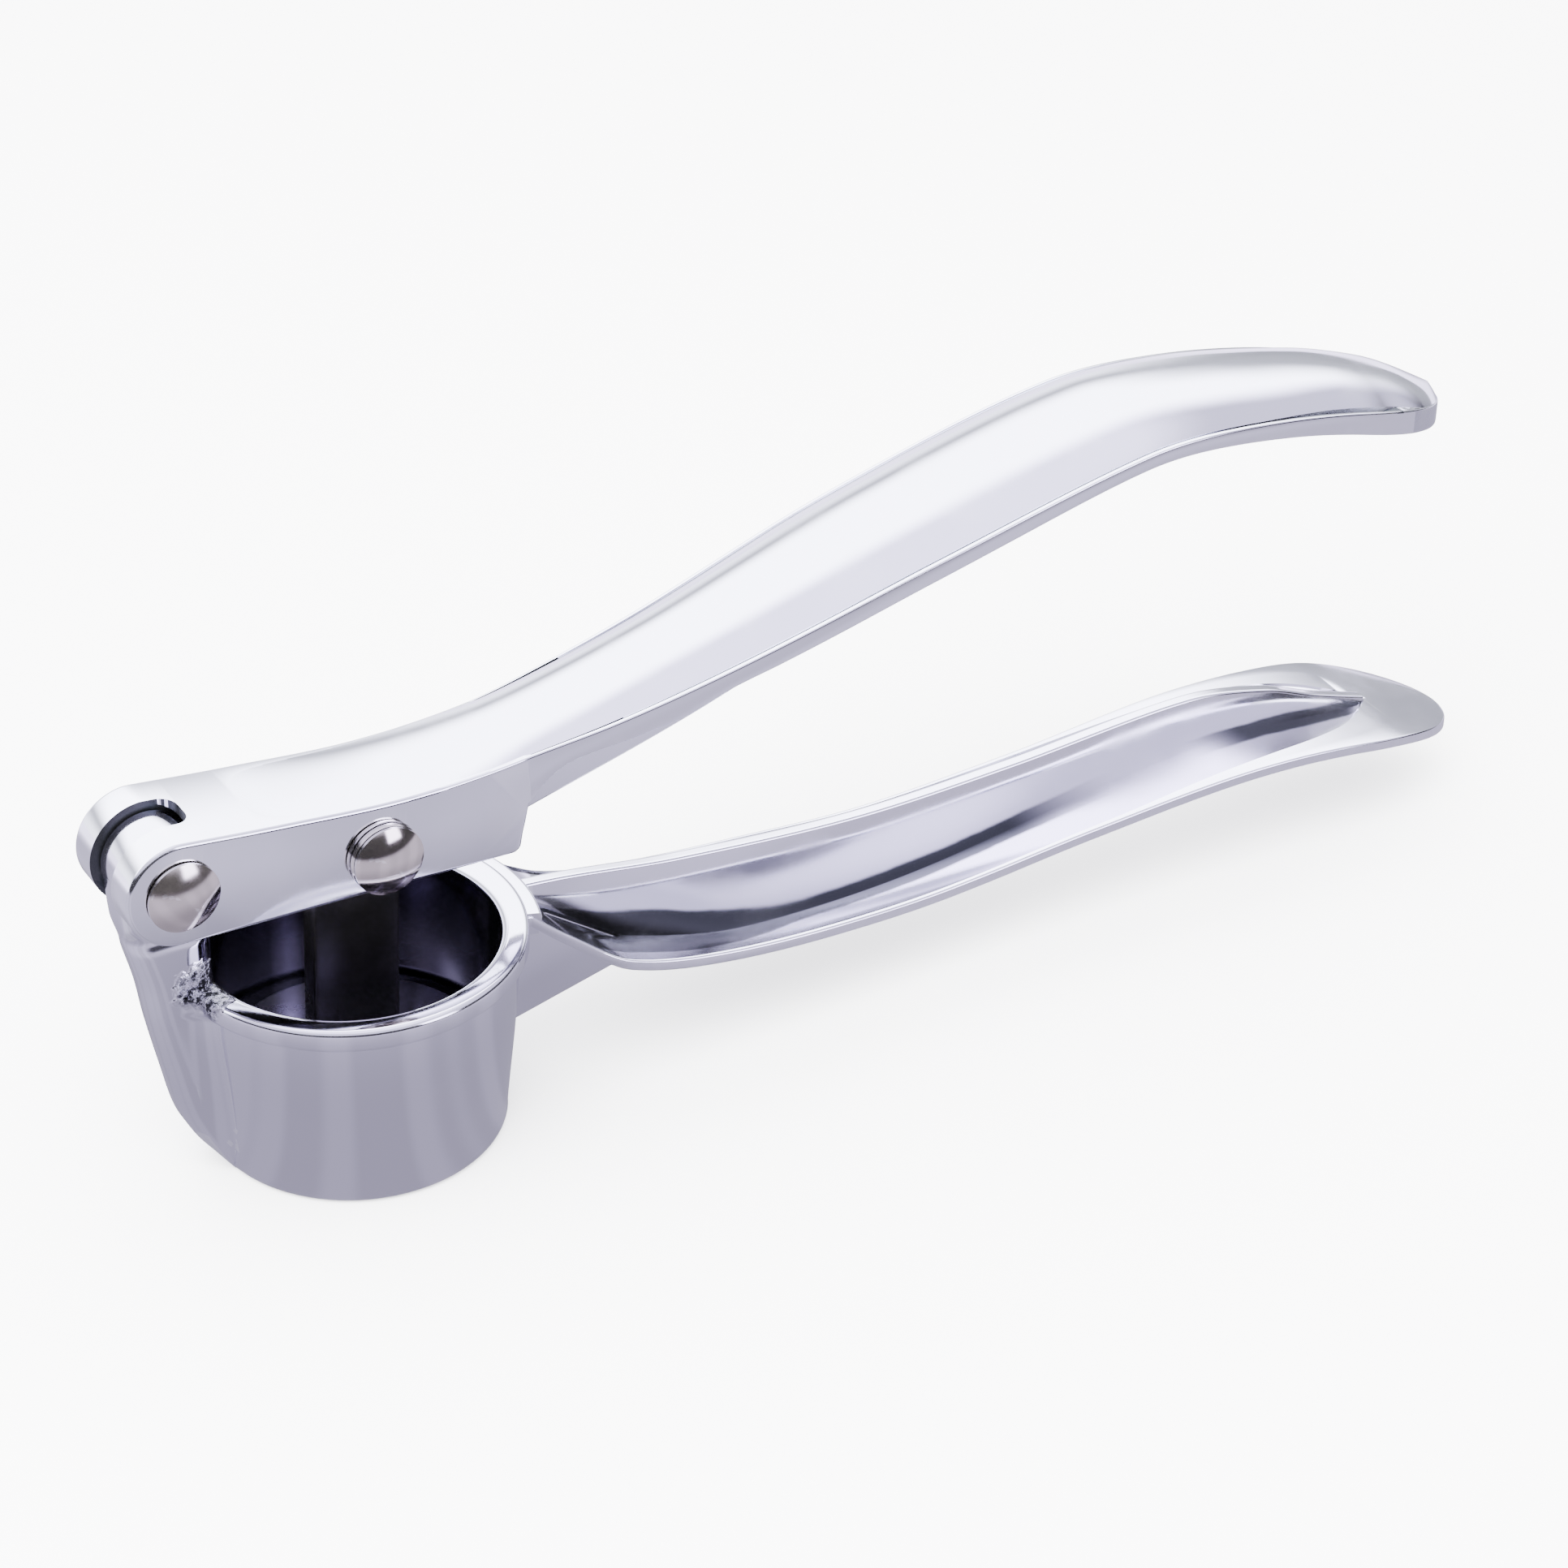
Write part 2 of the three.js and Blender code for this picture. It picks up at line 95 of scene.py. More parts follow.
def through(points: Points) -> Curve:
    """Makes a smooth function of x through given points.

    Args:
        points: the [x, value] points, in order of x.

    Returns:
        A function of an array of x.
    """
    xs, values = np.array(points, dtype=float).T
    before = np.maximum(np.arange(len(xs)) - 1, 0)
    after = np.minimum(np.arange(len(xs)) + 1, len(xs) - 1)
    slopes = (values[after] - values[before]) / (xs[after] - xs[before])

    def curve(x: np.ndarray) -> np.ndarray:
        """Evaluates the cubic that the points give.

        Args:
            x: where to evaluate it.

        Returns:
            The value at each x.
        """
        i = np.clip(np.searchsorted(xs, x, side="right") - 1, 0, len(xs) - 2)
        span = xs[i + 1] - xs[i]
        t = np.clip((x - xs[i]) / span, 0, 1)
        rise = t * t * (3 - 2 * t)
        bend = slopes[i] * t * (1 - t) ** 2 - slopes[i + 1] * t * t * (1 - t)
        return values[i] * (1 - rise) + values[i + 1] * rise + span * bend

    return curve


def step(low: float, high: float, x: np.ndarray) -> np.ndarray:
    """Rises smoothly from 0 at low to 1 at high.

    Args:
        low: where the rise starts.
        high: where it ends.
        x: the values to evaluate it at.

    Returns:
        The rise at each value, from 0 to 1.
    """
    t = np.clip((x - low) / (high - low), 0, 1)
    return t * t * (3 - 2 * t)


def stations(start: float, end: float, count: int, crowd: float = 1.0) -> np.ndarray:
    """Spaces stations along a bar, closer together at its ends.

    Args:
        start: the first station.
        end: the last station.
        count: how many there are.
        crowd: 0 spaces them evenly, 1 as the cosine of an even angle.

    Returns:
        The stations, in order.
    """
    even = np.linspace(0, 1, count)
    share = crowd * (1 - np.cos(even * np.pi)) / 2 + (1 - crowd) * even
    return start + (end - start) * share


def rounded_end(width: np.ndarray, x: np.ndarray, end: float, stretch: float, power: float) -> np.ndarray:
    """Narrows a width to nothing over its last stretch, as a superellipse.

    Args:
        width: the widths along the bar.
        x: the stations of those widths.
        end: where the bar ends.
        stretch: how long the rounding is.
        power: the superellipse's exponent.

    Returns:
        The narrowed widths.
    """
    t = np.clip((x - (end - stretch)) / stretch, 0, 1)
    return width * np.maximum(1 - t**power, 1e-5) ** (1 / power)


def arc(cx: float, cy: float, radius: float, start: float, end: float, count: int) -> list[Spot]:
    """Lists points on an arc.

    Args:
        cx: the centre's first coordinate.
        cy: the centre's second coordinate.
        radius: the arc's radius.
        start: the first angle, in degrees.
        end: the last angle, in degrees.
        count: how many points there are.

    Returns:
        The points, in order.
    """
    angles = np.radians(np.linspace(start, end, count))
    return [(cx + radius * math.cos(a), cy + radius * math.sin(a)) for a in angles]


# ---- Meshes ----


def mesh_object(name: str, vertices: np.ndarray, faces: list[tuple[int, ...]]) -> Piece:
    """Makes a closed mesh that faces outwards, from vertices in millimetres.

    Args:
        name: the object's name.
        vertices: the vertices, one per row.
        faces: the faces, as indices of vertices.

    Returns:
        The new object, linked to the scene.
    """
    mesh = bpy.data.meshes.new(name)
    mesh.from_pydata((np.asarray(vertices) * MM).tolist(), [], faces)
    made = bmesh.new()
    made.from_mesh(mesh)
    bmesh.ops.remove_doubles(made, verts=made.verts, dist=1e-6)
    bmesh.ops.triangulate(made, faces=[f for f in made.faces if len(f.verts) > 4])
    bmesh.ops.recalc_face_normals(made, faces=made.faces)
    made.to_mesh(mesh)
    made.free()
    piece = bpy.data.objects.new(name, mesh)
    bpy.context.scene.collection.objects.link(piece)
    return piece


def loft(name: str, rings: np.ndarray, closed: bool = False) -> Piece:
    """Makes a solid through rings of points.

    Args:
        name: the object's name.
        rings: the rings, as an array of shape (rings, points, 3).
        closed: whether the last ring joins the first, in place of two end caps.

    Returns:
        The new object.
    """
    count, size, _ = rings.shape
    faces = []
    for i in range(count if closed else count - 1):
        a, b = i * size, ((i + 1) % count) * size
        faces += [(a + j, a + (j + 1) % size, b + (j + 1) % size, b + j) for j in range(size)]
    if not closed:
        faces.append(tuple(range(size)))
        faces.append(tuple(range((count - 1) * size, count * size)))
    return mesh_object(name, rings.reshape(-1, 3), faces)


def bar_rings(x: np.ndarray, half: Half) -> np.ndarray:
    """Mirrors half sections into whole rings across the plane of symmetry.

    Args:
        x: the stations along the bar.
        half: the half section from the top's middle to the underside's middle, as (y, z) columns.

    Returns:
        The rings, as an array of shape (rings, points, 3).
    """
    right = [np.stack([x, y, z], axis=-1) for y, z in half]
    left = [column * np.array([1, -1, 1]) for column in right[-2:0:-1]]
    return np.stack(right + left, axis=1)


def turned(name: str, profile: Points, sides: int = 192) -> Piece:
    """Turns a closed (radius, height) profile about the Z axis.

    Args:
        name: the object's name.
        profile: the (radius, height) points, in order.
        sides: how many steps the turn takes.

    Returns:
        The new object.
    """
    angles = np.linspace(0, 2 * np.pi, sides, endpoint=False)
    radius, height = np.array(profile, dtype=float).T
    rings = [np.stack([radius * math.cos(a), radius * math.sin(a), height], -1) for a in angles]
    return loft(name, np.array(rings), closed=True)


def plate(name: str, outline: Points, width: float, edge: float) -> Piece:
    """Makes a flat plate with rounded edges, centred on the plane of symmetry.

    Args:
        name: the object's name.
        outline: the side outline in X and Z, anticlockwise.
        width: the plate's thickness across Y.
        edge: the radius of its long edges.

    Returns:
        The new object.
    """
    points = np.array(outline, dtype=float)
    along = np.roll(points, -1, axis=0) - points
    along /= np.maximum(np.linalg.norm(along, axis=1, keepdims=True), 1e-9)
    before = np.roll(along, 1, axis=0)
    inward = np.stack([-(along + before)[:, 1], (along + before)[:, 0]], -1)
    inward /= np.maximum(np.linalg.norm(inward, axis=1, keepdims=True), 1e-9)
    mitre = 1 / np.clip(np.sum(inward * np.stack([-along[:, 1], along[:, 0]], -1), axis=1), 0.6, 1)
    inward *= mitre[:, None]
    turns = np.linspace(0, np.pi / 2, 6)
    steps = [(edge * (1 - math.sin(t)), -width / 2 + edge * (1 - math.cos(t))) for t in turns]
    steps += [(inset, -y) for inset, y in reversed(steps)]
    rings = []
    for inset, y in steps:
        moved = points + inward * inset
        rings.append(np.stack([moved[:, 0], np.full(len(moved), y), moved[:, 1]], -1))
    return loft(name, np.array(rings))


def cross_pin(name: str, x: float, z: float, radius: float, width: float, edge: float = 0.0) -> Piece:
    """Makes a cylinder across the press, with its edges rounded.

    Args:
        name: the object's name.
        x: its axis in X.
        z: its axis in Z.
        radius: its radius.
        width: its length across Y.
        edge: the radius of its edges.

    Returns:
        The new object.
    """
    return plate(name, arc(x, z, radius, 0, 360, 97)[:-1], width, max(edge, 1e-3))


def combine(base: Piece, other: Piece, cut: Cut) -> Piece:
    """Combines two solids into the first, and deletes the second.

    Args:
        base: the solid that is kept.
        other: the solid that is used up.
        cut: how they are combined.

    Returns:
        The first solid, with its new mesh.
    """
    modifier = base.modifiers.new("combine", "BOOLEAN")
    modifier.operation = cut.value
    modifier.solver = "MANIFOLD"
    modifier.object = other
    evaluated = base.evaluated_get(bpy.context.evaluated_depsgraph_get())
    mesh = bpy.data.meshes.new_from_object(evaluated)
    base.modifiers.clear()
    base.data = mesh
    bpy.data.objects.remove(other)
    return base


def polish(piece: Piece, angle: float = 28.0) -> None:
    """Shades a piece smooth, apart from edges sharper than an angle in degrees.

    Args:
        piece: the object to shade.
        angle: the angle above which an edge stays sharp.
    """
    made = bmesh.new()
    made.from_mesh(piece.data)
    bmesh.ops.remove_doubles(made, verts=made.verts, dist=2e-7)
    bmesh.ops.dissolve_degenerate(made, edges=made.edges, dist=2e-7)
    made.to_mesh(piece.data)
    made.free()
    piece.data.shade_smooth()
    piece.data.set_sharp_from_angle(angle=math.radians(angle))


def paint(piece: Piece, materials: Sequence[bpy.types.Material], pick: Optional[Pick] = None) -> None:
    """Gives a piece its materials.

    Args:
        piece: the object to dress.
        materials: its materials, the main one first.
        pick: takes the faces' centres in millimetres and their normals, and gives each face's
            material as an index.
    """
    piece.data.materials.clear()
    for material in materials:
        piece.data.materials.append(material)
    count = len(piece.data.polygons)
    chosen = np.zeros(count, dtype=np.int32)
    if pick:
        centres = np.empty(count * 3)
        normals = np.empty(count * 3)
        piece.data.polygons.foreach_get("center", centres)
        piece.data.polygons.foreach_get("normal", normals)
        chosen = pick(centres.reshape(-1, 3) / MM, normals.reshape(-1, 3)).astype(np.int32)
    piece.data.polygons.foreach_set("material_index", chosen)
    piece.data.update()


def place(piece: Piece, body: Body, slot: str, *nodes: str) -> None:
    """Rides a piece on its body and hides the CAD nodes it stands for.

    Args:
        piece: the finished object.
        body: the rigid body it moves with.
        slot: not used.
        nodes: the CAD nodes it stands for.
    """
    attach(piece, body.value)
    if nodes:
        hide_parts(*nodes)
    LOG.info("%s: %d faces on %s", piece.name, len(piece.data.polygons), body.value)


# ---- Shader node groups ----


def new_group(name: str, inputs: dict[str, float], outputs: dict[str, str]) -> bpy.types.NodeTree:
    """Makes an empty shader node group with float inputs and the outputs given by socket type.

    Args:
        name: the group's name.
        inputs: the default value of each input.
        outputs: the socket type of each output.

    Returns:
        The new group, with its input and output nodes.
    """
    group = bpy.data.node_groups.new(name, "ShaderNodeTree")
    for label, value in inputs.items():
        socket = group.interface.new_socket(label, in_out="INPUT", socket_type="NodeSocketFloat")
        socket.default_value = value
    for label, kind in outputs.items():
        group.interface.new_socket(label, in_out="OUTPUT", socket_type=kind)
    group.nodes.new("NodeGroupInput")
    group.nodes.new("NodeGroupOutput")
    return group


class Wiring:
    """Adds and links the nodes of one node tree."""

    def __init__(self, tree: bpy.types.NodeTree) -> None:
        """Keeps the tree that the nodes go in.

        Args:
            tree: the node tree.
        """
        self.tree = tree

    def node(self, kind: str, **settings: object) -> bpy.types.Node:
        """Adds a node and sets its properties.

        Args:
            kind: the node's type.
            settings: its properties by name.

        Returns:
            The new node.
        """
        made = self.tree.nodes.new(kind)
        for key, value in settings.items():
            setattr(made, key, value)
        return made

    def feed(self, node: bpy.types.Node, **inputs: object) -> bpy.types.Node:
        """Sets or links a node's inputs by name, with _ for a space or as i0, i1 by position.

        Args:
            node: the node to feed.
            inputs: a socket to link, or a value to set, for each input.

        Returns:
            The same node.
        """
        for key, value in inputs.items():
            if key[0] == "i" and key[1:].isdigit():
                socket = node.inputs[int(key[1:])]
            else:
                socket = node.inputs[key.replace("_", " ")]
            if isinstance(value, Socket):
                self.tree.links.new(value, socket)
            else:
                socket.default_value = value
        return node

    def math(self, operation: str, a: object, b: object = 0.0) -> Socket:
        """Adds a math node and gives its result.

        Args:
            operation: the operation's name.
            a: the first value or socket.
            b: the second value or socket.

        Returns:
            The result's socket.
        """
        return self.feed(self.node("ShaderNodeMath", operation=operation), i0=a, i1=b).outputs[0]

    def remap(self, value: object, low: float, high: float, to_low: float, to_high: float) -> Socket:
        """Maps a range of a value to another, smoothly and clamped.

        Args:
            value: the value or socket to map.
            low: the start of its range.
            high: the end of its range.
            to_low: the result at the start.
            to_high: the result at the end.

        Returns:
            The result's socket.
        """
        node = self.node("ShaderNodeMapRange", interpolation_type="SMOOTHSTEP")
        return self.feed(node, i0=value, i1=low, i2=high, i3=to_low, i4=to_high).outputs[0]

    def place(self) -> Socket:
        """Gives the surface point in the piece's own coordinates.

        Returns:
            The point's socket.
        """
        return self.node("ShaderNodeTexCoord").outputs["Object"]

    def noise(self, where: object, scale: object, detail: float = 3.0, rough: float = 0.5) -> Socket:
        """Adds noise texture and gives its value.

        Args:
            where: the point's socket.
            scale: the noise's scale.
            detail: how many octaves it has.
            rough: how strong the finer octaves are.

        Returns:
            The value's socket.
        """
        node = self.node("ShaderNodeTexNoise")
        return self.feed(node, Vector=where, Scale=scale, Detail=detail, Roughness=rough).outputs[0]


def polish_marks_group() -> bpy.types.NodeTree:
    """Builds the marks that polishing and handling leave on plated metal.

    Returns:
        A group with inputs Scale, Smear and Ripple, and outputs Smudge and Height.
    """
    group = new_group(
        "polish_marks",
        {"Scale": 60.0, "Smear": 1.0, "Ripple": 1.0},
        {"Smudge": "NodeSocketFloat", "Height": "NodeSocketFloat"},
    )
    w = Wiring(group)
    given = group.nodes["Group Input"].outputs
    where = w.place()
    smears = w.remap(w.noise(where, given["Scale"], 4.0, 0.6), 0.42, 0.75, 0.0, 1.0)
    fine = w.noise(where, w.math("MULTIPLY", given["Scale"], 24.0), 2.0)
    smudge = w.math("MULTIPLY", w.math("ADD", smears, w.math("MULTIPLY", fine, 0.25)), given["Smear"])
    slow = w.noise(where, w.math("MULTIPLY", given["Scale"], 1.6), 1.0)
    grain = w.math("MULTIPLY", w.noise(where, w.math("MULTIPLY", given["Scale"], 40.0), 1.0), 0.02)
    height = w.math("MULTIPLY", w.math("ADD", slow, grain), given["Ripple"])
    w.feed(group.nodes["Group Output"], Smudge=smudge, Height=height)
    return group


def edge_wear_group() -> bpy.types.NodeTree:
    """Builds the brightening of plated metal along its worn edges.

    Returns:
        A group with inputs Width and Breakup, and output Worn.
    """
    group = new_group("edge_wear", {"Width": 0.06, "Breakup": 0.5}, {"Worn": "NodeSocketFloat"})
    w = Wiring(group)
    given = group.nodes["Group Input"].outputs
    pointed = w.node("ShaderNodeNewGeometry").outputs["Pointiness"]
    ridge = w.math("SUBTRACT", pointed, 0.5)
    share = w.math("DIVIDE", ridge, given["Width"])
    broken = w.math("MULTIPLY", w.noise(w.place(), 350.0, 4.0), given["Breakup"])
    worn = w.math("MINIMUM", w.math("MAXIMUM", w.math("SUBTRACT", share, broken), 0.0), 1.0)
    w.feed(group.nodes["Group Output"], Worn=worn)
    return group


def casting_flash_group() -> bpy.types.NodeTree:
    """Builds a rough lump that the mould left near one spot and its mirror across the press.

    Returns:
        A group with inputs Spot X, Spot Y, Spot Z and Reach, in metres, and outputs Mask, Pits and
        Height.
    """
    group = new_group(
        "casting_flash",
        {"Spot X": 0.0, "Spot Y": 0.0, "Spot Z": 0.0, "Reach": 0.005},
        {"Mask": "NodeSocketFloat", "Pits": "NodeSocketFloat", "Height": "NodeSocketFloat"},
    )
    w = Wiring(group)
    given = group.nodes["Group Input"].outputs
    where = w.place()
    split = w.feed(w.node("ShaderNodeSeparateXYZ"), Vector=where)
    here = w.node("ShaderNodeCombineXYZ")
    w.feed(here, X=split.outputs["X"], Y=w.math("ABSOLUTE", split.outputs["Y"]), Z=split.outputs["Z"])
    spot = w.feed(w.node("ShaderNodeCombineXYZ"), X=given["Spot X"], Y=given["Spot Y"], Z=given["Spot Z"])
    away = w.node("ShaderNodeVectorMath", operation="DISTANCE")
    w.feed(away, i0=here.outputs[0], i1=spot.outputs[0])
    share = w.math("DIVIDE", away.outputs["Value"], given["Reach"])
    ragged = w.math("ADD", share, w.math("MULTIPLY", w.noise(where, 420.0, 2.0), 0.7))
    mask = w.remap(ragged, 0.75, 1.05, 1.0, 0.0)
    rough = w.noise(where, 1100.0, 4.0, 0.65)
    pits = w.math("MULTIPLY", w.remap(rough, 0.44, 0.52, 1.0, 0.0), mask)
    w.feed(group.nodes["Group Output"], Mask=mask, Pits=pits, Height=w.math("MULTIPLY", rough, mask))
    return group


# ---- Finishes ----


@dataclass(frozen=True)
class MetalFinish:
    """A plated or bare metal, with its polish, smudges and worn edges."""

    name: str
    color: Spot3
    edge_color: Spot3
    roughness: float
    smudge_roughness: float
    ripple_height: float
    mark_scale: float = 60.0

    def shader(self, groups: Groups) -> tuple[bpy.types.Material, Wiring, bpy.types.Node]:
        """Builds the material.

        Args:
            groups: the shared node groups by name.

        Returns:
            The material, its wiring and its Principled BSDF.
        """
        material = bpy.data.materials.new(self.name)
        material.use_nodes = True
        w = Wiring(material.node_tree)
        surface = material.node_tree.nodes["Principled BSDF"]
        marks = w.node("ShaderNodeGroup", node_tree=groups["polish_marks"])
        w.feed(marks, Scale=self.mark_scale, Smear=1.0, Ripple=1.0)
        wear = w.node("ShaderNodeGroup", node_tree=groups["edge_wear"])
        mix = w.node("ShaderNodeMix", data_type="RGBA")
        w.feed(mix, i0=wear.outputs["Worn"], i6=(*self.color, 1), i7=(*self.edge_color, 1))
        rough = w.remap(marks.outputs["Smudge"], 0.0, 1.2, self.roughness, self.smudge_roughness)
        bump = w.node("ShaderNodeBump")
        w.feed(bump, Strength=1.0, Distance=self.ripple_height * MM, Height=marks.outputs["Height"])
        w.feed(surface, Base_Color=mix.outputs[2], Roughness=rough, Metallic=1.0, Normal=bump.outputs[0])
        return material, w, surface

    def material(self, groups: Groups) -> bpy.types.Material:
        """Builds the finished material.

        Args:
            groups: the shared node groups by name.

        Returns:
            The material.
        """
        return self.shader(groups)[0]


@dataclass(frozen=True)
class BoreReflectionFinish(MetalFinish):
    """The inside of the cup, dark with paler upright streaks: a painted reflection."""

    reflection_streak_color: Spot3 = (0.72, 0.66, 0.95)
    streaks: float = 1.9

    def material(self, groups: Groups) -> bpy.types.Material:
        """Builds the finished material, with painted reflection streaks that depend on the angle about the
        cup's axis.

        Args:
            groups: the shared node groups by name.

        Returns:
            The material.
        """
        material, w, surface = self.shader(groups)
        split = w.feed(w.node("ShaderNodeSeparateXYZ"), Vector=w.place())
        angle = w.math("ARCTAN2", split.outputs["Y"], split.outputs["X"])
        around = w.node("ShaderNodeCombineXYZ")
        w.feed(around, X=w.math("COSINE", angle), Y=w.math("SINE", angle))
        # painted reflection: paler streaks around the bore
        streak = w.remap(w.noise(around.outputs[0], self.streaks, 2.0), 0.5, 0.66, 0.0, 1.0)
        mix = w.node("ShaderNodeMix", data_type="RGBA")
        w.feed(mix, i0=streak, i6=(*self.color, 1), i7=(*self.reflection_streak_color, 1))
        w.feed(surface, Base_Color=mix.outputs[2])
        return material


@dataclass(frozen=True)
class CastFinish(MetalFinish):
    """Plated metal with a rough lump of casting flash on either side of the press."""

    flash_spot: Spot3 = (-19.4, 4.2, 26.4)
    flash_reach: float = 5.2
    flash_height: float = 1.2
    pit_color: Spot3 = (0.03, 0.03, 0.035)

    def material(self, groups: Groups) -> bpy.types.Material:
        """Builds the finished material, with the flash as a second bump.

        Args:
            groups: the shared node groups by name.

        Returns:
            The material.
        """
        material, w, surface = self.shader(groups)
        smooth = surface.inputs["Normal"].links[0].from_socket
        flash = w.node("ShaderNodeGroup", node_tree=groups["casting_flash"])
        x, y, z = (value * MM for value in self.flash_spot)
        w.feed(flash, Spot_X=x, Spot_Y=y, Spot_Z=z, Reach=self.flash_reach * MM)
        bump = w.node("ShaderNodeBump")
        height = flash.outputs["Height"]
        w.feed(bump, Strength=1.0, Distance=self.flash_height * MM, Height=height, Normal=smooth)
        plated = surface.inputs["Base Color"].links[0].from_socket
        pitted = w.node("ShaderNodeMix", data_type="RGBA")
        w.feed(pitted, i0=flash.outputs["Pits"], i6=plated, i7=(*self.pit_color, 1))
        w.feed(surface, Base_Color=pitted.outputs[2], Normal=bump.outputs[0])
        return material


@dataclass(frozen=True)
class ChannelReflectionFinish(MetalFinish):
    """Plated metal in the handle's channel, with a charcoal band along the foot of the rib that is a painted
    dark reflection.
    """

    # painted reflection: the colour of the dark band beside the rib
    reflection_band_color: Spot3 = (0.045, 0.048, 0.052)
    band: Spot = (6.8, 3.2)
    narrows: Spot = (38.0, 60.0)
    fades: Spot = (88.0, 106.0)
    returns: Spot = (114.0, 124.0)

    def material(self, groups: Groups) -> bpy.types.Material:
        """Builds the finished material, with the band painted in as a dark reflection.

        Args:
            groups: the shared node groups by name.

        Returns:
            The material.
        """
        material, w, surface = self.shader(groups)
        where = w.place()
        split = w.feed(w.node("ShaderNodeSeparateXYZ"), Vector=where)
        along = w.math("DIVIDE", split.outputs["X"], MM)
        across = w.math("DIVIDE", w.math("ABSOLUTE", split.outputs["Y"]), MM)
        reach = w.remap(along, *self.narrows, *self.band)
        ragged = w.math("SUBTRACT", w.noise(where, 160.0, 3.0), 0.5)
        over = w.math("SUBTRACT", across, w.math("ADD", reach, w.math("MULTIPLY", ragged, 0.9)))
        beside = w.remap(over, -0.5, 0.3, 1.0, 0.0)
        near, far = w.remap(along, *self.fades, 1.0, 0.0), w.remap(along, *self.returns, 0.0, 1.0)
        length = w.math("ADD", near, far)
        # painted reflection: the channel's colour turns charcoal in the band beside the rib
        mix = w.node("ShaderNodeMix", data_type="RGBA")
        plated = surface.inputs["Base Color"].links[0].from_socket
        w.feed(mix, i0=w.math("MULTIPLY", beside, length), i6=plated, i7=(*self.reflection_band_color, 1))
        w.feed(surface, Base_Color=mix.outputs[2])
        return material


CHROME = MetalFinish("polished_chrome", (0.83, 0.83, 0.88), (0.95, 0.95, 0.98), 0.06, 0.19, 0.012)
CAST_CHROME = CastFinish("cast_chrome", (0.81, 0.80, 0.87), (0.95, 0.95, 0.98), 0.07, 0.2, 0.012)
CHANNEL_CHROME = ChannelReflectionFinish("channel_chrome", CAST_CHROME.color, CAST_CHROME.edge_color, 0.1, 0.22, 0.012)
RAW_CHROME = MetalFinish("tumbled_chrome", (0.5, 0.5, 0.56), (0.8, 0.8, 0.86), 0.22, 0.4, 0.03)
# painted shade: near-black for the lever's slot and the groove beside its dome
SLOT_SHADE = MetalFinish("slot_shadow", (0.045, 0.05, 0.058), (0.07, 0.07, 0.08), 0.4, 0.55, 0.03)
DARK_CHROME = MetalFinish("dark_chrome", (0.2, 0.19, 0.21), (0.45, 0.45, 0.5), 0.2, 0.35, 0.01)
NICKEL = MetalFinish("polished_nickel", (0.72, 0.65, 0.6), (0.88, 0.83, 0.79), 0.1, 0.2, 0.006)
STAINLESS = MetalFinish("satin_stainless", (0.6, 0.6, 0.62), (0.75, 0.75, 0.77), 0.28, 0.45, 0.01)
# painted reflection: the bore's dark colour and its streaks stand in for what the chrome inside the cup
# reflects
BORE_REFLECTION = BoreReflectionFinish("cup_bore", (0.12, 0.11, 0.15), (0.3, 0.3, 0.36), 0.14, 0.28, 0.01)

FINISHES = {
    "chrome": CHROME, "raw": RAW_CHROME, "dark": DARK_CHROME, "nickel": NICKEL, "stainless": STAINLESS,
    "bore": BORE_REFLECTION, "cast": CAST_CHROME, "slot": SLOT_SHADE, "channel": CHANNEL_CHROME,
}


# ---- Joints ----


def joint_place(name: str) -> Spot:
    """Gives where a hinge's axis crosses the plane of symmetry, as X and Z in millimetres.

    Args:
        name: the joint's name.

    Returns:
        The axis's X and Z.
    """
    joint = next(j for j in frame["record"]["behaviour"]["joints"] if j["name"] == name)
    return joint["pos_m"][0] / MM, joint["pos_m"][2] / MM


# ---- Upper lever ----


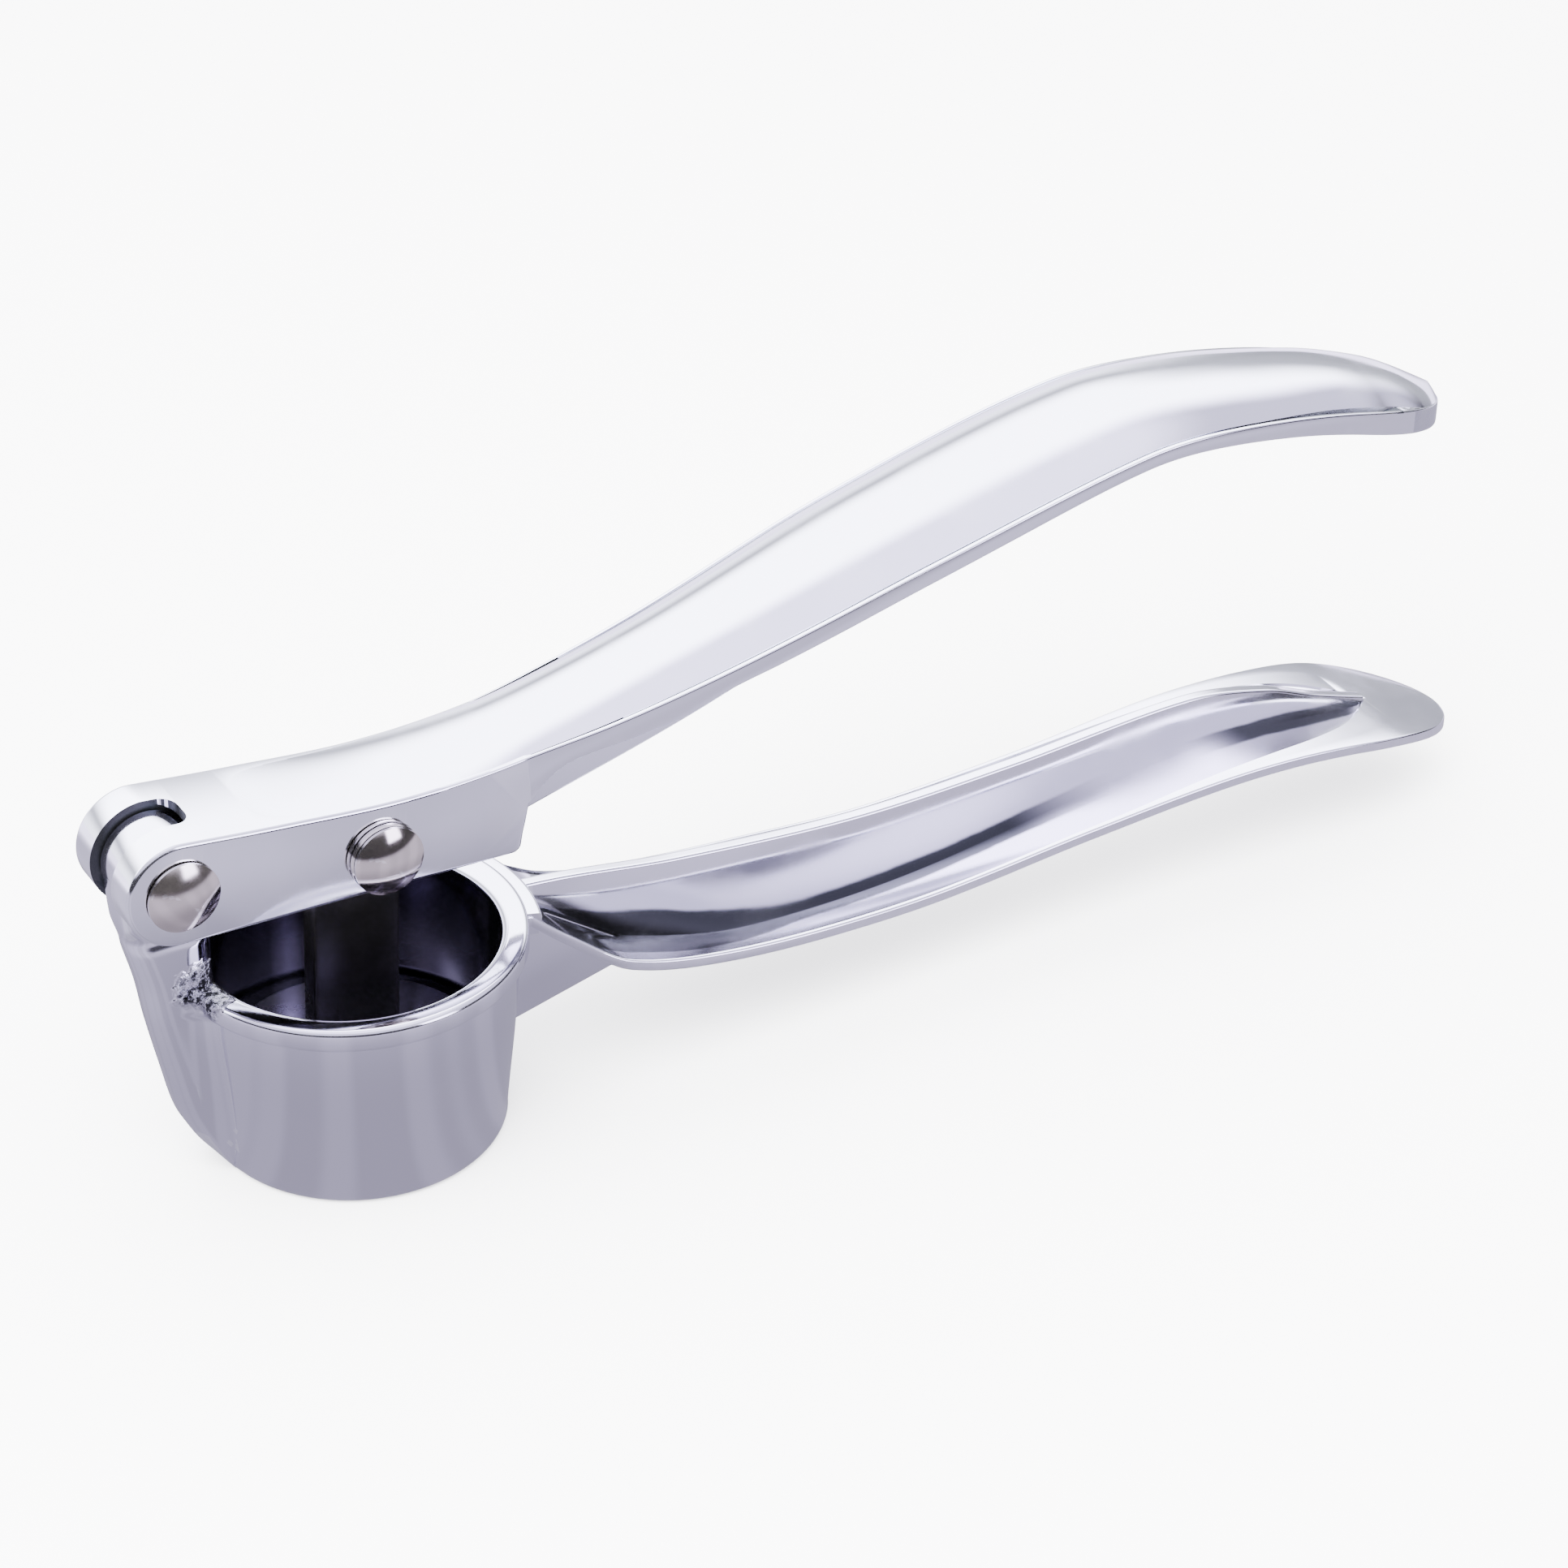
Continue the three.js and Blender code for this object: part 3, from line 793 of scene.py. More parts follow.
@dataclass
class UpperLever:
    """The lever: two ears and a slotted head, then a domed handle that is hollow underneath."""

    hinge: Spot
    pivot: Spot
    end: float = 148.6
    head_width: float = 14.0
    ear_radius: float = 6.3
    slot_width: float = 5.64
    knuckle_clearance: float = 5.7
    bore_radius: float = 2.46
    wall: float = 1.9
    skin: float = 1.7
    ledge: float = 0.9
    sink: float = 0.06
    rib_width: float = 2.0
    top: Points = ((-22, 47.5), (-10, 46.1), (5, 44.8), (20, 45.5), (40, 49.2), (70, 57.4),
                   (98, 63.5), (112, 63.5), (130, 60.6), (149, 54.9))
    flange: Points = ((17, 2.2), (50, 2.5), (80, 2.3), (100, 2.0), (120, 2.5), (138, 3.4), (149, 3.6))
    crown: Points = ((-14, 0), (10, 0.8), (40, 2.4), (75, 3.1), (120, 2.9), (134, 2.9), (142, 2.3),
                     (149, 0.7))
    width: Points = ((-22, 14), (18, 13.9), (30, 16), (40, 17.6), (62, 21), (85, 22.2),
                     (115, 21.6), (130, 20.6), (149, 18.6))
    neck: Points = ((19.0, 38.1), (19.4, 39.2), (21, 41.2), (23.6, 43), (26.8, 43.8), (32, 44.5),
                    (38, 45.6))
    rib: Points = ((19, 33.6), (46, 41), (75, 51.6), (92, 56.2), (108, 57.4), (126, 57.2), (142, 56))
    groove: Points = ((-5, 0), (20, 0.15), (60, 0.3), (105, 0.35), (124, 0.8), (132, 1.0), (137.5, 0.05),
                      (149, 0))

    def ledge_width(self, x: np.ndarray) -> np.ndarray:
        """Gives how wide the ledge beside the dome is, which grows before it runs out at the tip.

        Args:
            x: the stations along the handle.

        Returns:
            The width at each station.
        """
        return self.ledge * step(-5, 45, x) * (1 + 0.9 * step(114, 130, x)) * (1 - step(135, 144, x))

    def handle(self) -> Piece:
        """Builds the handle with its dome, ledge, side band and hollow.

        Returns:
            The new object.
        """
        x = stations(-15, self.end, 400, 0.96)
        flange_top = through(self.top)(x) - self.sink
        crown = through(self.crown)(x)
        meet = np.array([44.0, 50.0, 56.0])
        levels = through(self.top)(meet) - through(self.flange)(meet)
        neck = through([*self.neck, *zip(meet.tolist(), levels.tolist())])
        bottom = np.where(x < meet[1], neck(x), through(self.top)(x) - through(self.flange)(x))
        bottom = np.where(x < 19, np.maximum(bottom, flange_top - 6), bottom)
        half = np.maximum(through(self.width)(x) / 2, self.head_width / 2 - 0.015)
        half = rounded_end(half, x, self.end, 18, 2.1)
        edge = np.minimum(0.52 - 0.3 * step(-5, 25, x), 0.4 * half)
        foot = half - np.maximum(self.ledge_width(x), edge + 0.02)
        foot = np.maximum(foot, 0.4 * half)
        groove = through(self.groove)(x) * (x < 141)
        low_edge = np.minimum(0.35 + 0.5 * step(130, 146, x), 0.4 * half)
        inner = np.maximum(half - self.wall, 0.25 * half)
        hollow = step(25, 36, x) * (1 - step(128, 137, x))

        def dome(y: np.ndarray) -> np.ndarray:
            """Gives the dome's height across the handle.

            Args:
                y: the distances from the middle, one per station.

            Returns:
                The height at each station.
            """
            return flange_top + crown * (1 - np.clip(y / foot, 0, 1) ** 2.4)

        def underside(y: np.ndarray, share: float) -> tuple[np.ndarray, np.ndarray]:
            """Gives a point of the hollow, at a share of its full depth.

            Args:
                y: the distances from the middle, one per station.
                share: the share of the hollow's depth.

            Returns:
                The distances and the heights.
            """
            return y, bottom + hollow * share * (dome(y) - self.skin - bottom)

        section = [(foot * t, dome(foot * t)) for t in np.sin(np.linspace(0, np.pi / 2, 20))]
        section += [(foot + 0.03 * (half - foot), flange_top - groove)]
        share = 0.45 + 0.3 * step(114, 132, x)
        section += [(foot + share * (half - foot - edge), flange_top - groove)]
        section += [(foot + (share + 0.1) * (half - foot - edge), flange_top)]
        for turn in np.radians(np.linspace(90, 0, 5)):
            section.append((half - edge * (1 - math.cos(turn)), flange_top - edge * (1 - math.sin(turn))))
        section.append((half, (flange_top - edge + bottom + low_edge) / 2))
        for turn in np.radians(np.linspace(0, -90, 5)):
            section.append((half - low_edge * (1 - math.cos(turn)), bottom + low_edge * (1 + math.sin(turn))))
        section.append((inner, bottom))
        section += [underside(inner - 0.03 * half, 0.6), underside(inner - 0.06 * half, 0.97)]
        section += [underside(inner * t, 1.0) for t in (0.86, 0.7, 0.5, 0.3, 0.15, 0.0)]
        return loft("lever_handle", bar_rings(x, section))

    def head_outline(self) -> list[Spot]:
        """Traces the side of the head, anticlockwise from the foot of the ears.

        Returns:
            The outline's X and Z points.
        """
        x, z = self.hinge
        foot, toe = np.array([x - 0.4, z - self.ear_radius]), np.array([17.0, 33.4])
        outline = [tuple((foot + t * (toe - foot)).tolist()) for t in np.linspace(0, 1, 30)]
        outline += arc(17.15, 34.6, 1.2, -88, -14, 7)
        outline += [(18.6, 35.9), (18.95, 37.2), (19.25, 38.6), (19.9, 40.6), (21.4, 42.6), (23.6, 44.2)]
        back = np.linspace(23.6, x + 0.4, 60)
        level = through(self.top)(back) - 0.3 * step(19, 22, back)
        outline += list(zip(back.tolist(), level.tolist()))
        outline += arc(x, z, self.ear_radius, 92, 266, 60)
        return outline

    def slot_cutter(self) -> Piece:
        """Makes the shape of the gap between the ears and the slot under the head.

        Returns:
            The new object.
        """
        outline = [(-32, 28), (11.5, 28), (11.5, 38)]
        outline += arc(7.5, 39, 4, 0, 90, 9)
        outline += [(-14, 43.6), (-32, 43.6)]
        return plate("slot_cutter", outline, self.slot_width, 1e-3)

    def gap_cutter(self) -> Piece:
        """Makes the shape of the gap in the head's top, with rounded corners at its inner end.

        Returns:
            The new object.
        """
        half = self.slot_width / 2
        corner = 1.9
        plan = [(-34, -half)] + arc(-18.6 - corner, -half + corner, corner, -90, 0, 9)
        plan += arc(-18.6 - corner, half - corner, corner, 0, 90, 9) + [(-34, half)]
        return loft("gap_cutter", np.array([[(x, y, z) for x, y in plan] for z in (40, 56)]))

    def rib_plate(self) -> Piece:
        """Builds the rib under the handle.

        Returns:
            The new object.
        """
        low = np.linspace(17, 141, 120)
        outline = list(zip(low.tolist(), through(self.rib)(low).tolist()))
        high = low[::-1]
        outline += list(zip(high.tolist(), (through(self.top)(high) - 0.6).tolist()))
        return plate("lever_rib", outline, self.rib_width, 0.4)

    def build(self, materials: Materials) -> Piece:
        """Builds and dresses the whole lever.

        Args:
            materials: the press's materials by name.

        Returns:
            The finished lever.
        """
        lever = plate("upper_lever_casting", self.head_outline(), self.head_width, 0.55)
        combine(lever, self.handle(), Cut.JOIN)
        combine(lever, self.rib_plate(), Cut.JOIN)
        combine(lever, self.slot_cutter(), Cut.REMOVE)
        combine(lever, self.gap_cutter(), Cut.REMOVE)
        clearance = cross_pin("clearance", *self.hinge, self.knuckle_clearance, self.slot_width)
        combine(lever, clearance, Cut.REMOVE)
        for spot in (self.hinge, self.pivot):
            combine(lever, cross_pin("bore", *spot, self.bore_radius, 20), Cut.REMOVE)
        polish(lever)
        paint(lever, [materials["chrome"], materials["raw"], materials["slot"]], self.tumbled_or_shaded)
        place(lever, Body.LEVER, "chrome_casting", "upper_lever")
        return lever

    def tumbled_or_shaded(self, centres: np.ndarray, normals: np.ndarray) -> np.ndarray:
        """Picks the hollow, which polishing doesn't reach, and the slot and the groove, which get a painted
        shade.

        Args:
            centres: the faces' centres, in millimetres.
            normals: the faces' normals.

        Returns:
            For each face 0 for polished, 1 for the hollow or 2 for the painted shade in the slot and the
            groove.
        """
        x, y, z = centres.T
        in_slot = (np.abs(y) < self.slot_width / 2 + 0.05) & (x < 11.6) & (z < through(self.top)(x) - 0.4)
        half = through(self.width)(x) / 2
        in_hollow = (x > 24) & (np.abs(y) < half - 1.2) & (z < through(self.top)(x) + 1)
        in_hollow &= normals[:, 2] < 0.4
        foot = half - self.ledge_width(x)
        cut = through(self.groove)(x)
        level = through(self.top)(x) - self.sink - cut
        in_groove = (np.abs(z - level) < 0.1) & (np.abs(y) > foot - 0.2) & (np.abs(y) < half - 0.25)
        in_groove &= (cut > 0.08) & (x < 138)
        rib = (np.abs(y) < self.rib_width / 2 + 0.1) & (x > 19) & (z < through(self.top)(x) - 1)
        # painted shade: the slot and the groove get the near-black slot_shadow colour
        return np.where(in_slot | in_groove, 2, in_hollow & ~rib)


# ---- Cup and lower handle ----


@dataclass
class LowerCasting:
    """The cup with its hinge pillar, and the ribbed and dished lower handle."""

    hinge: Spot
    cup_height: float = 25.4
    rim_radius: float = 20.0
    rim_band: float = 2.5
    bore: float = 16.5
    ledge_radius: float = 15.1
    ledge_top: float = 0.7
    handle_end: float = 155.3
    pocket_end: float = 143.6
    thickness: float = 1.45
    knuckle_radius: float = 5.3
    lug_width: float = 5.2
    pin_bore: float = 2.46
    wall: Points = ((0.9, 17.0), (6.4, 17.56), (11.4, 18.1), (19.4, 18.8), (22.5, 18.95))
    pillar_left: Points = ((0.3, -16.6), (3, -18.6), (5.5, -20.4), (8.5, -21.75), (13.4, -22.9),
                           (21.6, -24.5), (27, -25.3), (32.3, -26.5), (36, -27.0), (41.2, -27.3))
    rim: Points = ((19, 24.7), (23, 21.5), (30, 16.9), (42, 14.1), (60, 12.4), (74, 11.9), (95, 13),
                   (120, 14.3), (140, 12.4), (155.5, 8))
    width: Points = ((19, 14.6), (24, 18), (30, 21.4), (52, 22.6), (78, 20.6), (98, 19.9), (122, 21.2),
                     (140, 22), (155.5, 21.6))
    depth: Points = ((18, 0.2), (24, 0.8), (34, 2.1), (50, 4.1), (75, 3.1), (105, 1.1), (130, 0.8),
                     (144, 0.5))
    rim_flat: Points = ((18, 0.4), (45, 0.5), (97, 0.8), (110, 1.5), (127, 3), (135, 5), (140, 7.8),
                        (143.6, 10.6))
    rib: Points = ((19, 24.5), (27, 23.6), (42, 21.2), (66, 19), (88, 19.2), (115, 20.4), (127, 18.2),
                   (135, 15.1), (143, 12.4))

    def cup(self) -> Piece:
        """Turns the cup, with its rim band, bore and ledge for the perforated disc.

        Returns:
            The new object.
        """
        top = self.cup_height
        band_foot = top - self.rim_band
        heights = np.linspace(1.4, band_foot - 0.5, 12)
        profile = [(self.ledge_radius, 0.15), (self.ledge_radius + 0.15, 0.0)]
        profile += arc(15.95, 1.15, 1.15, -90, -8, 8)
        profile += list(zip(through(self.wall)(heights).tolist(), heights.tolist()))
        profile += arc(19.15, band_foot - 0.3, 0.2, 180, 100, 3)
        profile += arc(self.rim_radius - 0.5, band_foot + 0.35, 0.5, -75, 0, 5)
        profile += arc(self.rim_radius - 0.7, top - 0.7, 0.7, 0, 90, 8)
        profile += arc(self.bore + 1.5, top - 1.3, 1.3, 90, 170, 10)
        profile += [(self.bore + 0.1, top - 3), (self.bore, top - 6), (self.bore, 12)]
        profile += [(self.bore, self.ledge_top), (self.ledge_radius, self.ledge_top)]
        return turned("cup", profile)

    def pillar_foot(self) -> Piece:
        """Builds the pillar beside the cup, with fillets that run out into the cup's wall.

        Returns:
            The new object.
        """
        heights = stations(0.35, 25.1, 70, 0.4)
        left = -through(self.pillar_left)(heights)
        band = step(self.cup_height - self.rim_band - 0.8, self.cup_height - self.rim_band + 0.3, heights)
        wall = through(self.wall)(np.minimum(heights, 22.5)) * (1 - band) + (self.rim_radius - 0.3) * band
        wall -= 1.15 - np.sqrt(1.15**2 - np.clip(1.15 - heights, 0, 1.1) ** 2)
        rings = []
        for z, reach, radius in zip(heights, left, wall):
            stand = max(reach - radius, 0.05)
            half = self.lug_width / 2 + 0.35
            fillet = min(3.2, 0.7 * stand)
            nose = min(2.4, 0.5 * stand)
            centre_x = -math.sqrt((radius + fillet) ** 2 - (half + fillet) ** 2)
            touch = math.degrees(math.atan2(half + fillet, centre_x))
            side = arc(-reach + nose, half - nose, nose, 180, 90, 8)
            side += arc(centre_x, half + fillet, fillet, 270, touch + 180 + 360 * (touch < 90), 12)
            inside = (radius - 1.2) / radius
            angle = math.radians(touch)
            side.append((radius * inside * math.cos(angle), radius * inside * math.sin(angle)))
            ring = side + [(x, -y) for x, y in reversed(side)]
            rings.append([(x, y, z) for x, y in ring])
        return loft("pillar_foot", np.array(rings))

    def pillar_top(self) -> Piece:
        """Builds the pillar above the rim, up to the knuckle.

        Returns:
            The new object.
        """
        heights = np.linspace(25.0, self.hinge[1] - 0.5, 60)
        left = through(self.pillar_left)(heights)
        rings = []
        for z, x_left in zip(heights, left):
            half = self.lug_width / 2 + 0.35 * (1 - float(step(31.5, 33.5, z)))
            right = -16.9
            nose = 2.4 - 1.6 * float(step(33, 35.5, z))
            ring = arc(x_left + nose, -half + nose, nose, 180, 270, 8)
            ring += arc(right - nose, -half + nose, nose, 270, 360, 8)
            ring += arc(right - nose, half - nose, nose, 0, 90, 8)
            ring += arc(x_left + nose, half - nose, nose, 90, 180, 8)
            rings.append([(x, y, z) for x, y in ring])
        return loft("pillar_top", np.array(rings))

    def handle(self) -> Piece:
        """Builds the dished flange of the lower handle.

        Returns:
            The new object.
        """
        x = stations(17.4, self.handle_end, 360, 0.96)
        rim = through(self.rim)(x)
        half = rounded_end(through(self.width)(x) / 2, x, self.handle_end, 19, 2.1)
        pocket = np.maximum(half - through(self.rim_flat)(x), 0.02 * half)
        pocket = np.where(x > self.pocket_end, 0.02 * half, pocket)
        depth = through(self.depth)(x) * (1 - step(self.pocket_end - 0.6, self.pocket_end + 0.2, x))
        under = through(self.depth)(x) * (1 - step(130, 146, x))
        edge = np.minimum(0.3, 0.4 * half)
        lip = 0.3 * step(19, 26, x) * (1 - step(139, 143.2, x))
        section = [(pocket * t, rim - lip - depth * (1 - t**1.8)) for t in np.linspace(0, 1, 16)]
        section += [(pocket + t * (half - edge - pocket), rim) for t in (0.04, 0.6)]
        for turn in np.radians(np.linspace(90, 0, 5)):
            section.append((half - edge * (1 - math.cos(turn)), rim - edge * (1 - math.sin(turn))))
        foot = rim - self.thickness
        for turn in np.radians(np.linspace(0, -90, 5)):
            section.append((half - edge * (1 - math.cos(turn)), foot + edge * (1 + math.sin(turn))))
        for t in (0.92, 0.8, 0.65, 0.5, 0.35, 0.18, 0.0):
            section.append(((half - edge) * t, foot - under * (1 - t * t)))
        return loft("lower_flange", bar_rings(x, section))

    def rib_bar(self) -> Piece:
        """Builds the thin upright rib, which is a little thicker at its foot.

        Returns:
            The new object.
        """
        x = np.linspace(18.4, 143, 200)
        top = through(self.rib)(x)
        foot = through(self.rim)(x) - through(self.depth)(x) - 0.8
        edge = 0.35
        section = [(0 * x, top), (0 * x + 0.35, top)]
        for turn in np.radians(np.linspace(90, 0, 5)):
            section.append((0.85 - edge * (1 - math.cos(turn)) + 0 * x, top - edge * (1 - math.sin(turn))))
        section += [(0 * x + 1.1, foot), (0 * x, foot)]
        return loft("lower_rib", bar_rings(x, section))

    def neck(self) -> Piece:
        """Builds the flat tongue that joins the rim to the handle.

        Returns:
            The new object.
        """
        height = self.cup_height - 0.45
        profile = [(17.2, 22), (21.2, 22)] + arc(21.1, height - 0.5, 0.5, 0, 90, 6) + [(17.2, height)]
        radius, level = np.array(profile).T
        angles = np.radians(np.linspace(-20.5, 20.5, 40))
        rings = [np.stack([radius * math.cos(a), radius * math.sin(a), level], -1) for a in angles]
        return loft("neck", np.array(rings))

    def gusset(self) -> Piece:
        """Builds the web between the cup's wall and the underside of the handle.

        Returns:
            The new object.
        """
        outline = [(17.2, 6.1), (18.2, 6.25), (20, 6.7), (34, 10), (42, 9.6)]
        outline += [(34, 13.2), (24, 20.4), (17.2, 23)]
        return plate("gusset", outline, 3.0, 0.45)

    def build(self, materials: Materials) -> Piece:
        """Builds and dresses the whole casting.

        Args:
            materials: the press's materials by name.

        Returns:
            The finished casting.
        """
        casting = self.cup()
        casting.name = "cup_and_handle_casting"
        knuckle = cross_pin("knuckle", *self.hinge, self.knuckle_radius, self.lug_width, 0.4)
        pillar = (self.pillar_foot(), self.pillar_top(), knuckle)
        for part in (*pillar, self.neck(), self.handle(), self.rib_bar(), self.gusset()):
            combine(casting, part, Cut.JOIN)
        inside = [(0.0, 3.0), (self.bore - 0.01, 3.0), (self.bore - 0.01, 30.0), (0.0, 30.0)]
        combine(casting, turned("inside", inside), Cut.REMOVE)
        combine(casting, cross_pin("bore", *self.hinge, self.pin_bore, 20), Cut.REMOVE)
        polish(casting)
        paint(casting, [materials["cast"], materials["bore"], materials["channel"]], self.zone_of)
        place(casting, Body.BASE, "chrome_casting", "cup_and_lower_handle")
        return casting

    def zone_of(self, centres: np.ndarray, normals: np.ndarray) -> np.ndarray:
        """Picks the faces inside the cup and those of the channel's floor.

        Args:
            centres: the faces' centres, in millimetres.
            normals: the faces' normals.

        Returns:
            For each face 0 for the outside, 1 for the bore or 2 for the channel.
        """
        x, y, z = centres.T
        facing_in = normals[:, 0] * x + normals[:, 1] * y < 0
        in_bore = (np.hypot(x, y) < self.bore + 0.2) & (z > 0.5) & (z < self.cup_height - 0.6) & facing_in
        pocket = through(self.width)(x) / 2 - through(self.rim_flat)(x)
        in_channel = (x > 21.5) & (x < self.pocket_end) & (np.abs(y) > 0.95) & (np.abs(y) < pocket - 0.1)
        in_channel &= (normals[:, 2] > 0.55) & (z < through(self.rim)(x) + 0.1)
        # painted reflection: the bore and the channel's floor get colours that stand in for reflections
        return np.where(in_bore, 1, in_channel * 2)


# ---- Plunger ----


@dataclass
class Plunger:
    """The plunger: an eye on a flat stem, and the disc that presses."""

    pivot: Spot
    tilt: float = -2.1
    eye_radius: float = 3.9
    eye_width: float = 5.2
    stem_width: float = 10.6
    stem_shift: float = -0.6
    web: float = 2.8
    disc_radius: float = 15.2
    disc_thickness: float = 1.4
    length: float = 31.4
    bore_radius: float = 2.46

    def build(self, materials: Materials) -> Piece:
        """Builds and dresses the plunger, turned to how it hangs at rest.

        Args:
            materials: the press's materials by name.

        Returns:
            The finished plunger.
        """
        left, right = self.stem_shift - self.stem_width / 2, self.stem_shift + self.stem_width / 2
        foot = -self.length + 0.7
        shoulder = self.eye_radius - 0.3
        outline = [(left, foot), (right, foot), (right, -5.6), (right - 0.1, -4.8), (shoulder, -0.4)]
        outline += [(-shoulder, -0.4), (left + 0.1, -4.8), (left, -5.6)]
        plunger = plate("plunger_casting", outline, self.web, 0.4)
        combine(plunger, cross_pin("boss", 0, 0, self.eye_radius, self.eye_width, 0.4), Cut.JOIN)
        top = -self.length + self.disc_thickness
        disc = [(0, -self.length)] + arc(self.disc_radius - 0.35, -self.length + 0.35, 0.35, -90, 0, 6)
        disc += arc(self.disc_radius - 0.35, top - 0.35, 0.35, 0, 90, 6) + [(0, top)]
        combine(plunger, turned("plunger_disc", disc), Cut.JOIN)
        combine(plunger, cross_pin("bore", 0, 0, self.bore_radius, 20), Cut.REMOVE)
        turn = Matrix.Rotation(math.radians(-self.tilt), 4, "Y")
        shift = Matrix.Translation((self.pivot[0] * MM, 0, self.pivot[1] * MM))
        plunger.data.transform(shift @ turn)
        polish(plunger)
        paint(plunger, [materials["dark"]])
        place(plunger, Body.PLUNGER, "dark_chrome", "plunger")
        return plunger


# ---- Geometry node trees ----


class GeometryTree:
    """A Geometry Nodes tree whose result is taken off as a plain mesh."""

    def __init__(self, name: str, inputs: dict[str, float]) -> None:
        """Makes a tree with named float inputs and a material input.

        Args:
            name: the tree's name.
            inputs: the default value of each float input.
        """
        self.tree = bpy.data.node_groups.new(name, "GeometryNodeTree")
        self.wiring = Wiring(self.tree)
        self.sockets: dict[str, str] = {}
        for label, value in inputs.items():
            socket = self.tree.interface.new_socket(label, in_out="INPUT", socket_type="NodeSocketFloat")
            socket.default_value = value
            self.sockets[label] = socket.identifier
        socket = self.tree.interface.new_socket("Material", in_out="INPUT", socket_type="NodeSocketMaterial")
        self.sockets["Material"] = socket.identifier
        self.tree.interface.new_socket("Geometry", in_out="OUTPUT", socket_type="NodeSocketGeometry")
        self.given = self.wiring.node("NodeGroupInput").outputs

    def end(self, geometry: Socket) -> None:
        """Ends the tree with Realize Instances and Set Material.

        Args:
            geometry: the socket of what the tree made.
        """
        w = self.wiring
        real = w.feed(w.node("GeometryNodeRealizeInstances"), Geometry=geometry)
        dressed = w.node("GeometryNodeSetMaterial")
        w.feed(dressed, Geometry=real.outputs[0], Material=self.given["Material"])
        w.feed(w.node("NodeGroupOutput"), Geometry=dressed.outputs[0])

    def made(self, name: str, material: bpy.types.Material, **sizes: float) -> Piece:
        """Runs the tree and gives its result as a new object with a plain mesh.

        Args:
            name: the object's name.
            material: the material it gets.
            sizes: the inputs that differ from their defaults, with _ for a space.

        Returns:
            The new object, with no modifier.
        """
        piece = bpy.data.objects.new(name, bpy.data.meshes.new(name))
        bpy.context.scene.collection.objects.link(piece)
        modifier = piece.modifiers.new("tree", "NODES")
        modifier.node_group = self.tree
        modifier[self.sockets["Material"]] = material
        for label, value in sizes.items():
            modifier[self.sockets[label.replace("_", " ")]] = float(value)
        evaluated = piece.evaluated_get(bpy.context.evaluated_depsgraph_get())
        mesh = bpy.data.meshes.new_from_object(evaluated)
        piece.modifiers.clear()
        piece.data = mesh
        if not mesh.materials:
            mesh.materials.append(material)
        return piece


def cap_rivet_tree() -> GeometryTree:
    """Builds half of a cap rivet along Z, its cap's flat underside in the XY plane and its crown up.

    Returns:
        A tree with inputs Cap Radius, Dome, Edge, Collar Radius, Collar Length, Shank Radius and
        Shank Length, in metres.
    """
    tree = GeometryTree("cap_rivet", {
        "Cap Radius": 4.1 * MM, "Dome": 1.1 * MM, "Edge": 0.35 * MM, "Collar Radius": 2.4 * MM,
        "Collar Length": 1 * MM, "Shank Radius": 1.4 * MM, "Shank Length": 12 * MM,
    })
    w, given = tree.wiring, tree.given
    ball = w.feed(w.node("GeometryNodeMeshUVSphere"), Segments=96, Rings=64, Radius=1.0)
    split = w.feed(w.node("ShaderNodeSeparateXYZ"), Vector=w.node("GeometryNodeInputPosition").outputs[0])
    x = w.math("MULTIPLY", split.outputs["X"], given["Cap Radius"])
    y = w.math("MULTIPLY", split.outputs["Y"], given["Cap Radius"])
    reach = w.math("ADD", w.math("MULTIPLY", x, x), w.math("MULTIPLY", y, y))
    squares = w.math("ADD", w.math("POWER", given["Cap Radius"], 2.0), w.math("POWER", given["Dome"], 2.0))
    curve = w.math("DIVIDE", squares, w.math("MULTIPLY", given["Dome"], 2.0))
    rest = w.math("SUBTRACT", w.math("MULTIPLY", curve, curve), reach)
    crown = w.math("SQRT", w.math("MAXIMUM", rest, 0.0))
    dome = w.math("ADD", w.math("SUBTRACT", crown, curve), w.math("ADD", given["Dome"], given["Edge"]))
    up = w.math("GREATER_THAN", split.outputs["Z"], -0.001)
    where = w.feed(w.node("ShaderNodeCombineXYZ"), X=x, Y=y, Z=w.math("MULTIPLY", dome, up))
    cap = w.feed(w.node("GeometryNodeSetPosition"), Geometry=ball.outputs[0], Position=where.outputs[0])
    joined = w.node("GeometryNodeMeshBoolean", operation="UNION", solver="EXACT")
    tree.tree.links.new(cap.outputs[0], joined.inputs["Mesh 2"])
    for part in ("Collar", "Shank"):
        length = w.math("ADD", given[f"{part} Length"], w.math("MULTIPLY", given["Edge"], 0.5))
        pin = w.node("GeometryNodeMeshCylinder")
        w.feed(pin, Vertices=64, Radius=given[f"{part} Radius"], Depth=length)
        drop = w.math("SUBTRACT", w.math("MULTIPLY", given["Edge"], 0.5), w.math("MULTIPLY", length, 0.5))
        lowered = w.feed(w.node("ShaderNodeCombineXYZ"), Z=drop)
        moved = w.node("GeometryNodeTransform")
        w.feed(moved, Geometry=pin.outputs[0], Translation=lowered.outputs[0])
        tree.tree.links.new(moved.outputs[0], joined.inputs["Mesh 2"])
    tree.end(joined.outputs[0])
    return tree


